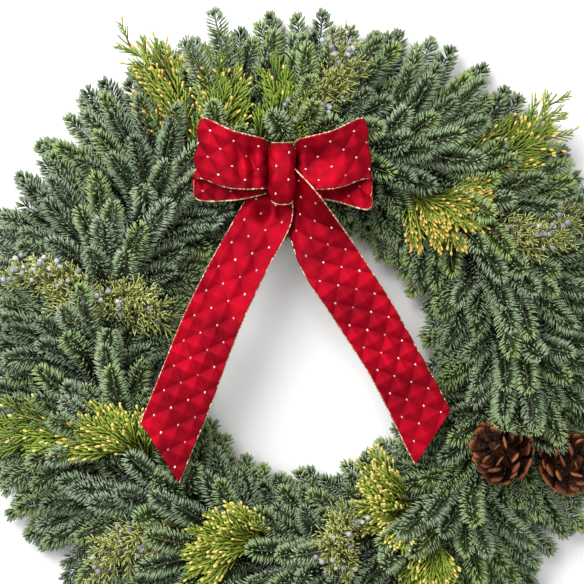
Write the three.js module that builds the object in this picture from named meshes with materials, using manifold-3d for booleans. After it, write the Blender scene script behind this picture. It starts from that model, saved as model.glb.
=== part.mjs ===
// A fresh evergreen wreath, lying on its back with its face up and its bow towards +Y.
// Bunches of noble fir, incense cedar and berried juniper are held by a welded wire clamp ring.
// Two pine cones and a quilted red ribbon bow are wired on.
// Millimetres, +Z up, with the origin at the middle of the ring on the surface the wreath lies on.

import * as THREE from 'three';
import { mergeVertices } from 'three/addons/utils/BufferGeometryUtils.js';
import Module from 'manifold-3d';

const wasm = await Module();
wasm.setup();

// Driving dimensions
const OUTER_RADIUS = 352; // to the tips of the rim
const HOLE_RADIUS = 136; // to the tips round the hole
const CROWN_HEIGHT = 106; // of the tallest fir tips
const RIBBON_WIDTH = 63.5;
const RIBBON_THICKNESS = 1;
const GAP = 0.3; // between pieces that touch

// The clamp ring
const CLAMPS = 16;
const CLAMP_STEP = 360 / CLAMPS;
const INNER_RAIL = 193;
const OUTER_RAIL = 237;
const RAIL_WIRE = 4;
const CLAMP_WIRE = 3.4;
const PRONG_HEIGHT = 33;
const RAIL_SEGMENTS = 32;

// Stems lie side by side in a clamp, the sprays in a second layer on those of the fir
const STEM_RADIUS = 3.9;
const CLAMP_TOP = RAIL_WIRE + CLAMP_WIRE - 0.8;
const FIR_STEM_HEIGHT = CLAMP_TOP + GAP + STEM_RADIUS;
const SPRAY_STEM_HEIGHT = FIR_STEM_HEIGHT + 2 * STEM_RADIUS + GAP;
const STEM_RADII = { outer: 224, inner: 206, between: 215 };

// Shoots and needles
const SHOOT_RADIUS = 1.9;
const SHOOT_TIP_RADIUS = 1.2;
const FIR_NEEDLE = 22;
const WHORL_SPACING = 30;
const WHORL_LENGTH = 1.8;
const BERRY_RADIUS = 3.4;
const CLEAR_OF_SHOOTS = 5;
const CLEAR_OF_NEEDLES = 3.4;
const CLEAR_BETWEEN_NEEDLES = 2.6;
const LOWEST_TIP = 3;

// The cones
const CONE_LENGTH = 72;
const CONE_RADIUS = 35;
const WIRE_RADIUS = 1;

const FIR_GREEN = 0x5d8068;
const CEDAR_GREEN = 0x93a83a;
const JUNIPER_GREEN = 0xa0a455;
const CONE_BROWN = 0x5e2c1a;
const RIBBON_RED = 0xc4122e;
const STEEL_GREY = 0x6f7672;

const UP = new THREE.Vector3(0, 0, 1);

// A point from its radius, its angle in degrees anticlockwise from +X, and its height
function polar(radius, degrees, height) {
  const angle = THREE.MathUtils.degToRad(degrees);
  return new THREE.Vector3(radius * Math.cos(angle), radius * Math.sin(angle), height);
}

// The clockwise direction along the ring, which all the bunches follow
function clockwise(degrees) {
  const angle = THREE.MathUtils.degToRad(degrees);
  return new THREE.Vector3(Math.sin(angle), -Math.cos(angle), 0);
}

// A fixed draw between -1 and 1 for a pair of whole numbers
function draw(a, b) {
  const wave = Math.sin(a * 12.9898 + b * 78.233) * 43758.5453;
  return 2 * (wave - Math.floor(wave)) - 1;
}

// Solids

function geometryFrom(points, triangles) {
  const geometry = new THREE.BufferGeometry();
  const positions = points.flatMap((p) => [p.x, p.y, p.z]);
  geometry.setAttribute('position', new THREE.Float32BufferAttribute(positions, 3));
  geometry.setIndex(triangles.flat());
  return geometry;
}

function toSolid(geometry) {
  const bare = geometry.clone();
  bare.deleteAttribute('normal');
  bare.deleteAttribute('uv');
  const merged = mergeVertices(bare, 1e-4);
  return new wasm.Manifold(new wasm.Mesh({
    numProp: 3,
    vertProperties: new Float32Array(merged.attributes.position.array),
    triVerts: new Uint32Array(merged.index.array),
  }));
}

// Joins solids into one body. A loose scrap or a sealed hollow is dropped.
function join(solids) {
  const whole = solids.reduce((sum, solid) => sum.add(solid));
  const bodies = whole.decompose();
  const largest = bodies.reduce((best, body) => (body.volume() > best.volume() ? body : best));
  const mesh = largest.getMesh();
  const geometry = new THREE.BufferGeometry();
  geometry.setAttribute('position', new THREE.BufferAttribute(mesh.vertProperties, 3));
  geometry.setIndex(new THREE.BufferAttribute(mesh.triVerts, 1));
  return geometry;
}

// A closed skin over rings of points with the same count in each, from the first ring to the last
function skin(rings) {
  const sides = rings[0].length;
  const points = rings.flat();
  const triangles = [];
  for (let ring = 0; ring + 1 < rings.length; ring += 1) {
    for (let side = 0; side < sides; side += 1) {
      const next = (side + 1) % sides;
      const a = ring * sides + side;
      const b = ring * sides + next;
      triangles.push([a, b, b + sides], [a, b + sides, a + sides]);
    }
  }
  const last = (rings.length - 1) * sides;
  for (let side = 1; side + 1 < sides; side += 1) {
    triangles.push([0, side + 1, side], [last, last + side, last + side + 1]);
  }
  return geometryFrom(points, triangles);
}

// Two directions across a path, square to each other: `rise` leans towards `up`
function across(tangent, up = UP) {
  const side = new THREE.Vector3().crossVectors(tangent, up).normalize();
  const rise = new THREE.Vector3().crossVectors(side, tangent).normalize();
  return { side, rise };
}

function ringAt(centre, tangent, radius, sides, turn, up = UP) {
  const { side, rise } = across(tangent, up);
  return Array.from({ length: sides }, (unused, k) => {
    const angle = turn + (2 * Math.PI * k) / sides;
    return centre.clone()
      .addScaledVector(side, -radius * Math.cos(angle))
      .addScaledVector(rise, radius * Math.sin(angle));
  });
}

// A round bar along a curve, with a corner of its section turned away from `up`
function bar(curve, radius, steps, sides, up = UP) {
  const rings = [];
  for (let step = 0; step <= steps; step += 1) {
    const t = step / steps;
    rings.push(ringAt(curve.getPointAt(t), curve.getTangentAt(t), radius, sides, -Math.PI / 2, up));
  }
  return skin(rings);
}

// A sheet of even thickness over a grid of points, with closed edges
function sheet(surface, lengthSteps, widthSteps, thickness) {
  const columns = widthSteps + 1;
  const count = (lengthSteps + 1) * columns;
  const points = [];
  for (const face of [0.5, -0.5]) {
    for (let row = 0; row <= lengthSteps; row += 1) {
      for (let column = 0; column <= widthSteps; column += 1) {
        const u = row / lengthSteps;
        const v = column / widthSteps;
        const here = surface(u, v);
        const along = surface(u + 0.001, v).sub(surface(u - 0.001, v));
        const over = surface(u, v + 0.001).sub(surface(u, v - 0.001));
        const normal = along.cross(over).normalize();
        points.push(here.addScaledVector(normal, face * thickness));
      }
    }
  }
  const triangles = [];
  const quad = (a, b, c, d) => triangles.push([a, b, c], [a, c, d]);
  for (let row = 0; row < lengthSteps; row += 1) {
    for (let column = 0; column < widthSteps; column += 1) {
      const a = row * columns + column;
      quad(a, a + columns, a + columns + 1, a + 1);
      quad(count + a, count + a + 1, count + a + columns + 1, count + a + columns);
    }
    const left = row * columns;
    const right = left + widthSteps;
    quad(left, count + left, count + left + columns, left + columns);
    quad(right, right + columns, count + right + columns, count + right);
  }
  for (let column = 0; column < widthSteps; column += 1) {
    const end = lengthSteps * columns + column;
    quad(column, column + 1, count + column + 1, count + column);
    quad(end, count + end, count + end + 1, end + 1);
  }
  return geometryFrom(points, triangles);
}

const wreath = new THREE.Group();

function addPiece(name, geometry, color, roughness, metalness = 0) {
  const material = new THREE.MeshStandardMaterial({ color, roughness, metalness });
  const mesh = new THREE.Mesh(geometry, material);
  mesh.name = name;
  wreath.add(mesh);
}

// What is already in place, as thick lines, so that each new shoot and needle can keep clear

const shootLines = [];
const needleLines = [];

function distanceBetween(p1, q1, p2, q2) {
  const d1 = q1.clone().sub(p1);
  const d2 = q2.clone().sub(p2);
  const r = p1.clone().sub(p2);
  const a = d1.dot(d1);
  const e = d2.dot(d2);
  const f = d2.dot(r);
  const c = d1.dot(r);
  const b = d1.dot(d2);
  const spread = a * e - b * b;
  let s = spread > 1e-9 ? THREE.MathUtils.clamp((b * f - c * e) / spread, 0, 1) : 0;
  let t = (b * s + f) / e;
  if (t < 0 || t > 1) {
    t = THREE.MathUtils.clamp(t, 0, 1);
    s = THREE.MathUtils.clamp((b * t - c) / a, 0, 1);
  }
  return p1.clone().addScaledVector(d1, s).distanceTo(p2.clone().addScaledVector(d2, t));
}

function isClear(start, end, owner, lines, clearance) {
  return lines.every((line) => {
    if (line.owner === owner) return true;
    const reach = clearance + line.extra;
    if (Math.min(start.x, end.x) - reach > Math.max(line.start.x, line.end.x)) return true;
    if (Math.max(start.x, end.x) + reach < Math.min(line.start.x, line.end.x)) return true;
    if (Math.min(start.y, end.y) - reach > Math.max(line.start.y, line.end.y)) return true;
    if (Math.max(start.y, end.y) + reach < Math.min(line.start.y, line.end.y)) return true;
    return distanceBetween(start, end, line.start, line.end) > reach;
  });
}

function occupy(owner, points, extra = 0) {
  for (let k = 0; k + 1 < points.length; k += 1) {
    shootLines.push({ owner, start: points[k], end: points[k + 1], extra });
  }
}

// The ribbon bow. Its outlines are the ribbon's two edges, each a smooth curve through a few
// points, and the ribbon spans between them.

const KNOT = { x: -27.5, y: 190.8, width: 33, height: 63, back: 90, front: 130 };

function edgeCurve(...points) {
  return new THREE.CatmullRomCurve3(points.map((p) => new THREE.Vector3(...p)), false, 'centripetal');
}

function between(edgeA, edgeB) {
  return (u, v) => {
    const t = THREE.MathUtils.clamp(u, 0, 1);
    const slope = u - t;
    const a = edgeA.getPoint(t).addScaledVector(edgeA.getTangent(t), slope * 100);
    const b = edgeB.getPoint(t).addScaledVector(edgeB.getTangent(t), slope * 100);
    return a.lerp(b, v);
  };
}

// The left tail hangs over the hole to the lower left, the right tail to the lower right. Both
// start gathered behind the knot, the right one behind the left.
const TAIL_TOP = KNOT.back - RIBBON_THICKNESS / 2;
const TAILS = {
  left: between(
    edgeCurve([-43, 188, TAIL_TOP], [-70, 152, 87], [-100, 100, 97], [-130, 40, 100], [-153, -16, 97],
      [-176, -73, 99]),
    edgeCurve([-22, 182, TAIL_TOP], [-16, 146, 90], [-42, 90, 99], [-72, 26, 103], [-104, -58, 99],
      [-136, -137, 98]),
  ),
  right: between(
    edgeCurve([-34, 176, TAIL_TOP - 1.9], [-19, 134, 84], [-8, 90, 96], [22, 44, 103], [62, -18, 100],
      [113, -118, 97]),
    edgeCurve([-14, 190, TAIL_TOP - 1.9], [8, 158, 82], [50, 110, 92], [87, 54, 99], [118, -2, 97],
      [150, -60, 98]),
  ),
};

// A loop runs out from the front of the knot, bends round at its end and comes back behind it.
// Its end stands `lift` towards +Y in front and `drop` back from that behind.
function loopSurface(direction, reach, lift, drop) {
  const half = RIBBON_WIDTH / 2;
  const nearKnot = KNOT.width / 2 - 1;
  const startX = KNOT.x + direction * nearKnot;
  const endX = KNOT.x + direction * reach;
  const bend = 15;
  const path = edgeCurve(
    [startX, KNOT.y, KNOT.front - 9],
    [(startX + endX) / 2, KNOT.y + 0.5 * lift, KNOT.front - 3],
    [endX - direction * bend, KNOT.y + 0.85 * lift, KNOT.front - 6],
    [endX, KNOT.y + lift - 0.4 * drop, KNOT.back + 17],
    [endX - direction * bend, KNOT.y + lift - drop, KNOT.back],
    [(startX + endX) / 2, KNOT.y + 0.2 * (lift - drop), KNOT.back + 2],
    [startX, KNOT.y - 3, KNOT.back + 8],
  );
  return (u, v) => {
    const t = THREE.MathUtils.clamp(u, 0, 1);
    const centre = path.getPoint(t).addScaledVector(path.getTangent(t), (u - t) * 300);
    const spread = 0.82 + 0.18 * Math.sin(Math.PI * t) ** 0.5;
    const lean = -0.17 * direction * Math.sin(Math.PI * t);
    const offset = (v - 0.5) * 2 * half * spread;
    return centre.add(new THREE.Vector3(-lean * offset, offset, 0));
  };
}

function addBow() {
  const loops = {
    bow_loop_left: loopSurface(-1, 90, 24, 21),
    bow_loop_right: loopSurface(1, 93, 24, 27),
  };
  for (const [name, surface] of Object.entries(loops)) {
    addPiece(name, sheet(surface, 15, 2, RIBBON_THICKNESS), RIBBON_RED, 0.5);
    markRibbon(surface);
  }
  addPiece('bow_tail_left', sheet(TAILS.left, 11, 2, RIBBON_THICKNESS), RIBBON_RED, 0.5);
  addPiece('bow_tail_right', sheet(TAILS.right, 11, 2, RIBBON_THICKNESS), RIBBON_RED, 0.5);
  addPiece('bow_knot', knotGeometry(), RIBBON_RED, 0.5);
}

// The knot is a band of ribbon wrapped round the gathered middle of the loops
function knotGeometry() {
  const rings = [];
  const rows = 8;
  for (let row = 0; row <= rows; row += 1) {
    const v = row / rows;
    const y = KNOT.y + (v - 0.5) * KNOT.height;
    const bulge = Math.sin(Math.PI * v) ** 0.6;
    const halfDepth = 4 + bulge * ((KNOT.front - KNOT.back) / 2 - 4);
    const halfWidth = (KNOT.width / 2 - GAP) * (0.8 + 0.2 * bulge);
    const middle = (KNOT.front + KNOT.back) / 2;
    const ring = Array.from({ length: 10 }, (unused, k) => {
      const angle = (2 * Math.PI * (k + 0.5)) / 10;
      const x = halfWidth * Math.sign(Math.cos(angle)) * Math.abs(Math.cos(angle)) ** 0.5;
      const z = halfDepth * Math.sign(Math.sin(angle)) * Math.abs(Math.sin(angle)) ** 0.7;
      return new THREE.Vector3(KNOT.x + x, y, middle + z);
    });
    rings.push(ring.reverse());
  }
  return skin(rings);
}

// Places under the ribbons, which the foliage keeps below
const RIBBON_SPOT = 13;
const UNDER_RIBBON = 3;
const ribbonSpots = [];

function markRibbon(surface) {
  for (let u = 0; u <= 1.001; u += 0.04) {
    for (let v = 0; v <= 1.001; v += 0.25) ribbonSpots.push(surface(u, v));
  }
}

function ceilingAt(point) {
  let ceiling = Infinity;
  for (const spot of ribbonSpots) {
    if (Math.hypot(spot.x - point.x, spot.y - point.y) < RIBBON_SPOT) {
      ceiling = Math.min(ceiling, spot.z);
    }
  }
  return ceiling - UNDER_RIBBON;
}

// The wire that ties the bow on runs from the back of the knot to the inner rail
function addTieWire() {
  const x = KNOT.x;
  const curve = new THREE.CatmullRomCurve3([
    new THREE.Vector3(x, KNOT.y + 6, KNOT.back),
    new THREE.Vector3(x, KNOT.y + 6, 50),
    new THREE.Vector3(x, KNOT.y, 18),
    new THREE.Vector3(x, Math.sqrt((INNER_RAIL - 0.5) ** 2 - x ** 2), RAIL_WIRE + GAP),
  ]);
  addPiece('bow_tie_wire', bar(curve, WIRE_RADIUS, 5, 5, new THREE.Vector3(1, 0, 0)), STEEL_GREY, 0.4, 0.8);
  occupy('bow_tie_wire', curve.getPoints(5));
}

// The clamp ring

// A rail is a hexagonal ring with a flat underside, which the wreath lies on
function rail(radius) {
  const apothem = RAIL_WIRE / 2;
  const corner = apothem / Math.cos(Math.PI / 6);
  const profile = Array.from({ length: 7 }, (unused, k) => {
    const angle = (Math.PI / 3) * (k % 6);
    return new THREE.Vector2(radius + corner * Math.cos(angle), apothem + corner * Math.sin(angle));
  });
  return new THREE.LatheGeometry(profile, RAIL_SEGMENTS).rotateX(Math.PI / 2);
}

// A clamp is one wire across both rails, with its two ends bent up and over the stems
function clampRoute(degrees) {
  const low = CLAMP_TOP - CLAMP_WIRE / 2;
  return [
    [INNER_RAIL + 15, PRONG_HEIGHT],
    [INNER_RAIL - 1, PRONG_HEIGHT - 6],
    [INNER_RAIL - 1, low],
    [OUTER_RAIL + 1, low],
    [OUTER_RAIL + 1, PRONG_HEIGHT - 6],
    [OUTER_RAIL - 15, PRONG_HEIGHT],
  ].map(([radius, height]) => polar(radius, degrees, height));
}

function clampSolid(degrees) {
  const route = clampRoute(degrees);
  const half = CLAMP_WIRE / 2;
  const over = clockwise(degrees);
  const rings = route.map((point, k) => {
    const before = route[Math.max(k - 1, 0)];
    const after = route[Math.min(k + 1, route.length - 1)];
    const along = after.clone().sub(before).normalize();
    const out = new THREE.Vector3().crossVectors(along, over).normalize();
    return [[1, 1], [-1, 1], [-1, -1], [1, -1]].map(([a, b]) => (
      point.clone().addScaledVector(over, a * half).addScaledVector(out, b * half)));
  });
  return toSolid(skin(rings));
}

function addRing() {
  const solids = [toSolid(rail(INNER_RAIL)), toSolid(rail(OUTER_RAIL))];
  for (let k = 0; k < CLAMPS; k += 1) {
    solids.push(clampSolid(k * CLAMP_STEP));
    occupy('clamp_ring', clampRoute(k * CLAMP_STEP), 0.5);
  }
  addPiece('clamp_ring', join(solids), STEEL_GREY, 0.45, 0.8);
}

// Foliage

// A woody stem lies in its clamp, with its cut end behind and its shoots ahead of it
function stemCurve(clamp, slot) {
  const degrees = clamp * CLAMP_STEP;
  const height = slot.layer === 0 ? FIR_STEM_HEIGHT : SPRAY_STEM_HEIGHT;
  const radius = STEM_RADII[slot.row];
  const ahead = slot.layer === 0 ? 9 : 5;
  const points = [6, 0, -ahead].map((lead) => polar(radius, degrees + lead, height));
  return new THREE.CatmullRomCurve3(points);
}

// A shoot leaves its stem along the ring and turns to its tip, rising early when it is arched
function shootCurve(root, degrees, tip, arch) {
  const reach = 0.45 * root.distanceTo(tip);
  const control = root.clone().addScaledVector(clockwise(degrees), reach);
  control.z = THREE.MathUtils.lerp(root.z, tip.z, arch);
  return new THREE.QuadraticBezierCurve3(root, control, tip);
}

// The first of a few small bends of a shoot that keeps it clear of every other piece, or null
function bentClear(owner, root, degrees, target, arch) {
  const [radius, angle, height] = target;
  for (const drop of [0, 6, -6, 12, -12, 20, -20, 30]) {
    for (const swing of [0, 2.5, -2.5, 5, -5]) {
      const tip = polar(radius, angle + swing, Math.max(height + drop, 8));
      const curve = shootCurve(root, degrees, tip, arch);
      const points = curve.getSpacedPoints(8);
      const clear = points.every((point, k) => point.z < ceilingAt(point)
        && (k === 0 || isClear(points[k - 1], point, owner, shootLines, CLEAR_OF_SHOOTS)));
      if (clear) {
        occupy(owner, points);
        return curve;
      }
    }
  }
  return null;
}

// The solid of a shoot. Its skin has a narrow band at each whorl, and a needle is a face of that
// band drawn out to the needle's tip. The bands turn by half a face from whorl to whorl.
function shootSolid(curve, whorls) {
  const sides = 3;
  const length = curve.getLength();
  const half = WHORL_LENGTH / 2 / length;
  const stations = [{ t: 0, turn: 0 }];
  whorls.forEach(({ t, turn }) => stations.push({ t: t - half, turn }, { t: t + half, turn }));
  const points = stations.flatMap(({ t, turn }) => {
    const radius = THREE.MathUtils.lerp(SHOOT_RADIUS, SHOOT_TIP_RADIUS, t);
    return ringAt(curve.getPointAt(t), curve.getTangentAt(t), radius, sides, turn);
  });
  const triangles = [];
  for (let ring = 0; ring + 1 < stations.length; ring += 1) {
    const needles = ring % 2 === 1 ? whorls[(ring - 1) / 2].needles : [];
    for (let side = 0; side < sides; side += 1) {
      const a = ring * sides + side;
      const b = ring * sides + ((side + 1) % sides);
      if (needles[side]) {
        const tip = points.push(needles[side]) - 1;
        triangles.push([a, b, tip], [b, b + sides, tip], [b + sides, a + sides, tip]);
        triangles.push([a + sides, a, tip]);
      } else {
        triangles.push([a, b, a + sides], [b, b + sides, a + sides]);
      }
    }
  }
  const last = (stations.length - 1) * sides;
  const end = points.push(curve.getPointAt(1)) - 1;
  for (let side = 0; side < sides; side += 1) {
    triangles.push([last + side, last + ((side + 1) % sides), end]);
  }
  triangles.push([0, 2, 1]);
  return toSolid(geometryFrom(points, triangles));
}

// Needles of one whorl. `styleTip` gives a needle's tip from its root, the way its face looks
// and the way the shoot runs. A needle that would touch another piece is shortened or left out.
function whorlAt(owner, curve, t, turn, styleTip) {
  const centre = curve.getPointAt(t);
  const tangent = curve.getTangentAt(t);
  const { side, rise } = across(tangent);
  const needles = [0, 1, 2].map((face) => {
    const angle = turn + ((face + 0.5) * 2 * Math.PI) / 3;
    const look = side.clone().multiplyScalar(-Math.cos(angle)).addScaledVector(rise, Math.sin(angle));
    const root = centre.clone().addScaledVector(look, 1);
    const full = styleTip({ root, look, tangent, side, t, face });
    if (!full) return null;
    for (const share of [1, 0.7]) {
      const tip = root.clone().lerp(full, share);
      const clear = tip.z > LOWEST_TIP && tip.z < ceilingAt(tip)
        && isClear(root, tip, owner, shootLines, CLEAR_OF_NEEDLES)
        && isClear(root, tip, owner, needleLines, CLEAR_BETWEEN_NEEDLES);
      if (clear) {
        needleLines.push({ owner, start: root, end: tip, extra: 0 });
        return tip;
      }
    }
    return null;
  });
  return { t, turn, needles };
}

function whorlsAlong(owner, curve, from, spacing, styleTip) {
  const length = curve.getLength();
  const count = Math.max(2, Math.round((length * (0.985 - from)) / spacing));
  return Array.from({ length: count }, (unused, k) => {
    const t = THREE.MathUtils.lerp(from, 0.985, k / (count - 1));
    return whorlAt(owner, curve, t, (k * Math.PI) / 3 + Math.PI / 6, styleTip);
  });
}

// Fir needles stand forward and curve up, more forward towards the end of the shoot
function firNeedle({ root, look, tangent, t }) {
  const out = look.clone();
  out.z = 0.5 * out.z + 0.25;
  const forward = THREE.MathUtils.lerp(0.7, 1.3, t);
  return root.clone().addScaledVector(out.addScaledVector(tangent, forward).normalize(), FIR_NEEDLE);
}

// Cedar branchlets lie flat on both sides of a frond and grow shorter towards its end
function cedarBranchlet({ root, look, tangent, side, t }) {
  if (Math.abs(look.dot(side)) < 0.5) return null;
  const out = side.clone().multiplyScalar(Math.sign(look.dot(side))).addScaledVector(tangent, 1.25);
  out.z -= 0.12;
  return root.clone().addScaledVector(out.normalize(), THREE.MathUtils.lerp(46, 20, t));
}

// Juniper twigs branch all round, forward and short
function juniperTwig({ root, look, tangent, t }) {
  const out = look.clone().addScaledVector(tangent, 1.1);
  out.z += 0.3;
  return root.clone().addScaledVector(out.normalize(), THREE.MathUtils.lerp(26, 15, t));
}

function berriesOn(curve) {
  return [0.55, 0.8].map((t, k) => {
    const centre = curve.getPointAt(t);
    const { side, rise } = across(curve.getTangentAt(t));
    const sign = k % 2 === 0 ? 1 : -1;
    centre.addScaledVector(side, sign * 0.75 * BERRY_RADIUS).addScaledVector(rise, 0.75 * BERRY_RADIUS);
    return toSolid(new THREE.OctahedronGeometry(BERRY_RADIUS).translate(centre.x, centre.y, centre.z));
  });
}

const KINDS = {
  fir: { color: FIR_GREEN, from: 0.42, spacing: WHORL_SPACING, arch: 0.6, styleTip: firNeedle },
  cedar: { color: CEDAR_GREEN, from: 0.4, spacing: 28, arch: 0.9, styleTip: cedarBranchlet },
  juniper: { color: JUNIPER_GREEN, from: 0.45, spacing: 30, arch: 0.9, styleTip: juniperTwig },
};

// A bunch waits here until every shoot is placed, and then grows its needles
const bunches = [];

function placeBunch(name, kind, clamp, slot, targets) {
  const stem = stemCurve(clamp, slot);
  const style = KINDS[kind];
  const degrees = clamp * CLAMP_STEP;
  const curves = [];
  targets.forEach((target, k) => {
    const lead = slot.layer === 0 ? 3.5 + 1.4 * k : 1.6 + 1.2 * k;
    const root = polar(STEM_RADII[slot.row], degrees - lead, stem.getPoint(1).z);
    const curve = bentClear(name, root, degrees - lead, target, style.arch);
    if (curve) curves.push(curve);
  });
  bunches.push({ name, kind, stem, curves });
}

function growBunch({ name, kind, stem, curves }) {
  const { color, from, spacing, styleTip } = KINDS[kind];
  const solids = [toSolid(bar(stem, STEM_RADIUS, 2, 6))];
  curves.forEach((curve) => {
    solids.push(shootSolid(curve, whorlsAlong(name, curve, from, spacing, styleTip)));
    if (kind === 'juniper') solids.push(...berriesOn(curve));
  });
  addPiece(name, join(solids), color, 0.7);
}

// Cedar and juniper sprays: the clamp and row that holds each one, and where its middle tip lies as
// radius, angle and height
const SPRAYS = [
  { kind: 'cedar', clamp: 6, row: 'outer', tip: [366, 120, 58] },
  { kind: 'cedar', clamp: 6, row: 'inner', tip: [300, 106, 88] },
  { kind: 'cedar', clamp: 5, row: 'inner', tip: [272, 94, 80] },
  { kind: 'cedar', clamp: 3, row: 'outer', tip: [352, 42, 62] },
  { kind: 'cedar', clamp: 3, row: 'inner', tip: [208, 40, 90] },
  { kind: 'cedar', clamp: 14, row: 'inner', tip: [172, 294, 80] },
  { kind: 'cedar', clamp: 14, row: 'outer', tip: [286, 297, 84] },
  { kind: 'cedar', clamp: 12, row: 'inner', tip: [226, 241, 92] },
  { kind: 'cedar', clamp: 10, row: 'inner', tip: [232, 198, 90] },
  { kind: 'cedar', clamp: 10, row: 'outer', tip: [318, 192, 68] },
  { kind: 'juniper', clamp: 5, row: 'outer', tip: [312, 80, 86] },
  { kind: 'juniper', clamp: 8, row: 'outer', tip: [300, 162, 84] },
  { kind: 'juniper', clamp: 8, row: 'inner', tip: [184, 160, 84] },
  { kind: 'juniper', clamp: 2, row: 'outer', tip: [298, 24, 84] },
  { kind: 'juniper', clamp: 13, row: 'inner', tip: [204, 277, 90] },
  { kind: 'juniper', clamp: 11, row: 'outer', tip: [300, 223, 78] },
];

// A spray has three fronds, the side ones standing apart from the middle one
function sprayTargets([radius, angle, height]) {
  return [-1, 0, 1].map((m) => [radius + 26 * m, angle + 4 * Math.abs(m) - m, height - 5 * Math.abs(m)]);
}

function placeSprays() {
  const counts = { cedar: 0, juniper: 0 };
  SPRAYS.forEach(({ kind, clamp, row, tip }) => {
    counts[kind] += 1;
    placeBunch(`${kind}_spray_${counts[kind]}`, kind, clamp, { row, layer: 1 }, sprayTargets(tip));
  });
}

// Fir tips of one clamp as radius, angle behind the clamp and height
const FIR_TIPS = {
  outer: [[OUTER_RADIUS, 16, 18], [OUTER_RADIUS - 6, 27.25, 34], [318, 23, 66], [282, 33, 90]],
  inner: [[HOLE_RADIUS, 20, 24], [HOLE_RADIUS + 5, 31.25, 44], [172, 27, 78],
    [231, 40, CROWN_HEIGHT - 4]],
};
const SPRAY_ROOM = 40;

// A high fir shoot gives way where a spray or a cone lies
function givesWay([radius, angle, height]) {
  const tip = polar(radius, angle, height);
  const near = (x, y) => Math.hypot(tip.x - x, tip.y - y) < SPRAY_ROOM;
  return height > 50 && (SPRAYS.some((spray) => {
    const middle = polar(spray.tip[0], spray.tip[1] + 3, 0);
    return near(middle.x, middle.y);
  }) || CONES.some(({ centre }) => near(centre[0], centre[1])));
}

function placeFir() {
  for (let clamp = 0; clamp < CLAMPS; clamp += 1) {
    for (const row of ['outer', 'inner']) {
      const targets = FIR_TIPS[row].map(([radius, lag, height], k) => {
        const seed = clamp * 10 + k + (row === 'outer' ? 0 : 5);
        return [radius + 4 * draw(seed, 1), clamp * CLAMP_STEP - lag + 1.5 * draw(seed, 2),
          height + 4 * draw(seed, 3)];
      }).filter((target) => !givesWay(target));
      placeBunch(`fir_${row}_${clamp + 1}`, 'fir', clamp, { row, layer: 0 }, targets);
    }
  }
}

// Pine cones: the middle of each and the way its tip points
const CONES = [
  { centre: [209, -107, 70], axis: [-0.55, 0.35, 0.75] },
  { centre: [279, -119, 60], axis: [0.35, 0.2, 0.9] },
];
const CONE_SCALES = 30;
const CONE_CORE_RADIUS = 15;
const CONE_STALK = 38; // from the middle of a cone to the end of its stalk
const CONE_WIRE_PLACES = [-29, -26]; // where each cone's wire meets the outer rail, in degrees
const GOLDEN_ANGLE = Math.PI * (3 - Math.sqrt(5));

// A scale is a wedge from an edge inside the core to a broad lip, opening outward and upward
function coneScale(k) {
  const t = (k + 0.5) / CONE_SCALES;
  const height = CONE_LENGTH * (0.82 * t - 0.42);
  const swell = Math.sin(Math.PI * (0.16 + 0.76 * t)) ** 0.7;
  const reach = CONE_RADIUS * swell;
  const lip = height + 4 + 15 * t;
  const half = 4 + 6 * swell;
  const thickness = 4;
  const corners = [[reach, -half, lip - thickness / 2], [reach, half, lip - thickness / 2],
    [reach, half, lip + thickness / 2], [reach, -half, lip + thickness / 2]];
  const inner = 0.4 * CONE_CORE_RADIUS * swell;
  const points = [...corners, [inner, -3, height], [inner, 3, height]].map((p) => new THREE.Vector3(...p));
  const triangles = [[0, 1, 2], [0, 2, 3], [1, 0, 4], [1, 4, 5], [3, 2, 5], [3, 5, 4], [0, 3, 4],
    [2, 1, 5]];
  return geometryFrom(points, triangles).rotateZ(k * GOLDEN_ANGLE);
}

function coneCore() {
  const half = 0.44 * CONE_LENGTH;
  const stalk = 2.5;
  const profile = [[0, -CONE_STALK], [stalk, -CONE_STALK], [stalk, -half + 4], [0.8 * CONE_CORE_RADIUS, -12],
    [CONE_CORE_RADIUS, 0], [0.6 * CONE_CORE_RADIUS, 20], [0, half]];
  return new THREE.LatheGeometry(profile.map((p) => new THREE.Vector2(...p)), 7).rotateX(Math.PI / 2);
}

function addCone({ centre, axis }, index) {
  const name = `pine_cone_${index + 1}`;
  const middle = new THREE.Vector3(...centre);
  const along = new THREE.Vector3(...axis).normalize();
  const solids = [toSolid(coneCore())];
  for (let k = 0; k < CONE_SCALES; k += 1) solids.push(toSolid(coneScale(k)));
  const geometry = join(solids);
  geometry.applyQuaternion(new THREE.Quaternion().setFromUnitVectors(UP, along));
  geometry.translate(...centre);
  addPiece(name, geometry, CONE_BROWN, 0.8);
  const end = (distance) => middle.clone().addScaledVector(along, distance);
  occupy(name, [end(-6), end(6)], CONE_RADIUS - 3);
  const wire = new THREE.CatmullRomCurve3([
    end(-CONE_STALK - GAP),
    end(-CONE_STALK - GAP - 6),
    polar(OUTER_RAIL, CONE_WIRE_PLACES[index], 12),
    polar(OUTER_RAIL - 0.5, CONE_WIRE_PLACES[index], RAIL_WIRE + GAP),
  ]);
  const solid = bar(wire, WIRE_RADIUS, 6, 5, clockwise(CONE_WIRE_PLACES[index]));
  addPiece(`cone_wire_${index + 1}`, solid, STEEL_GREY, 0.4, 0.8);
  occupy(name, wire.getPoints(6));
}

addBow();
Object.values(TAILS).forEach(markRibbon);
addTieWire();
addRing();
CONES.forEach(addCone);
placeSprays();
placeFir();
bunches.forEach(growBunch);

export default wreath;
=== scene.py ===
import enum
import logging
import math
from dataclasses import dataclass, field

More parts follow.
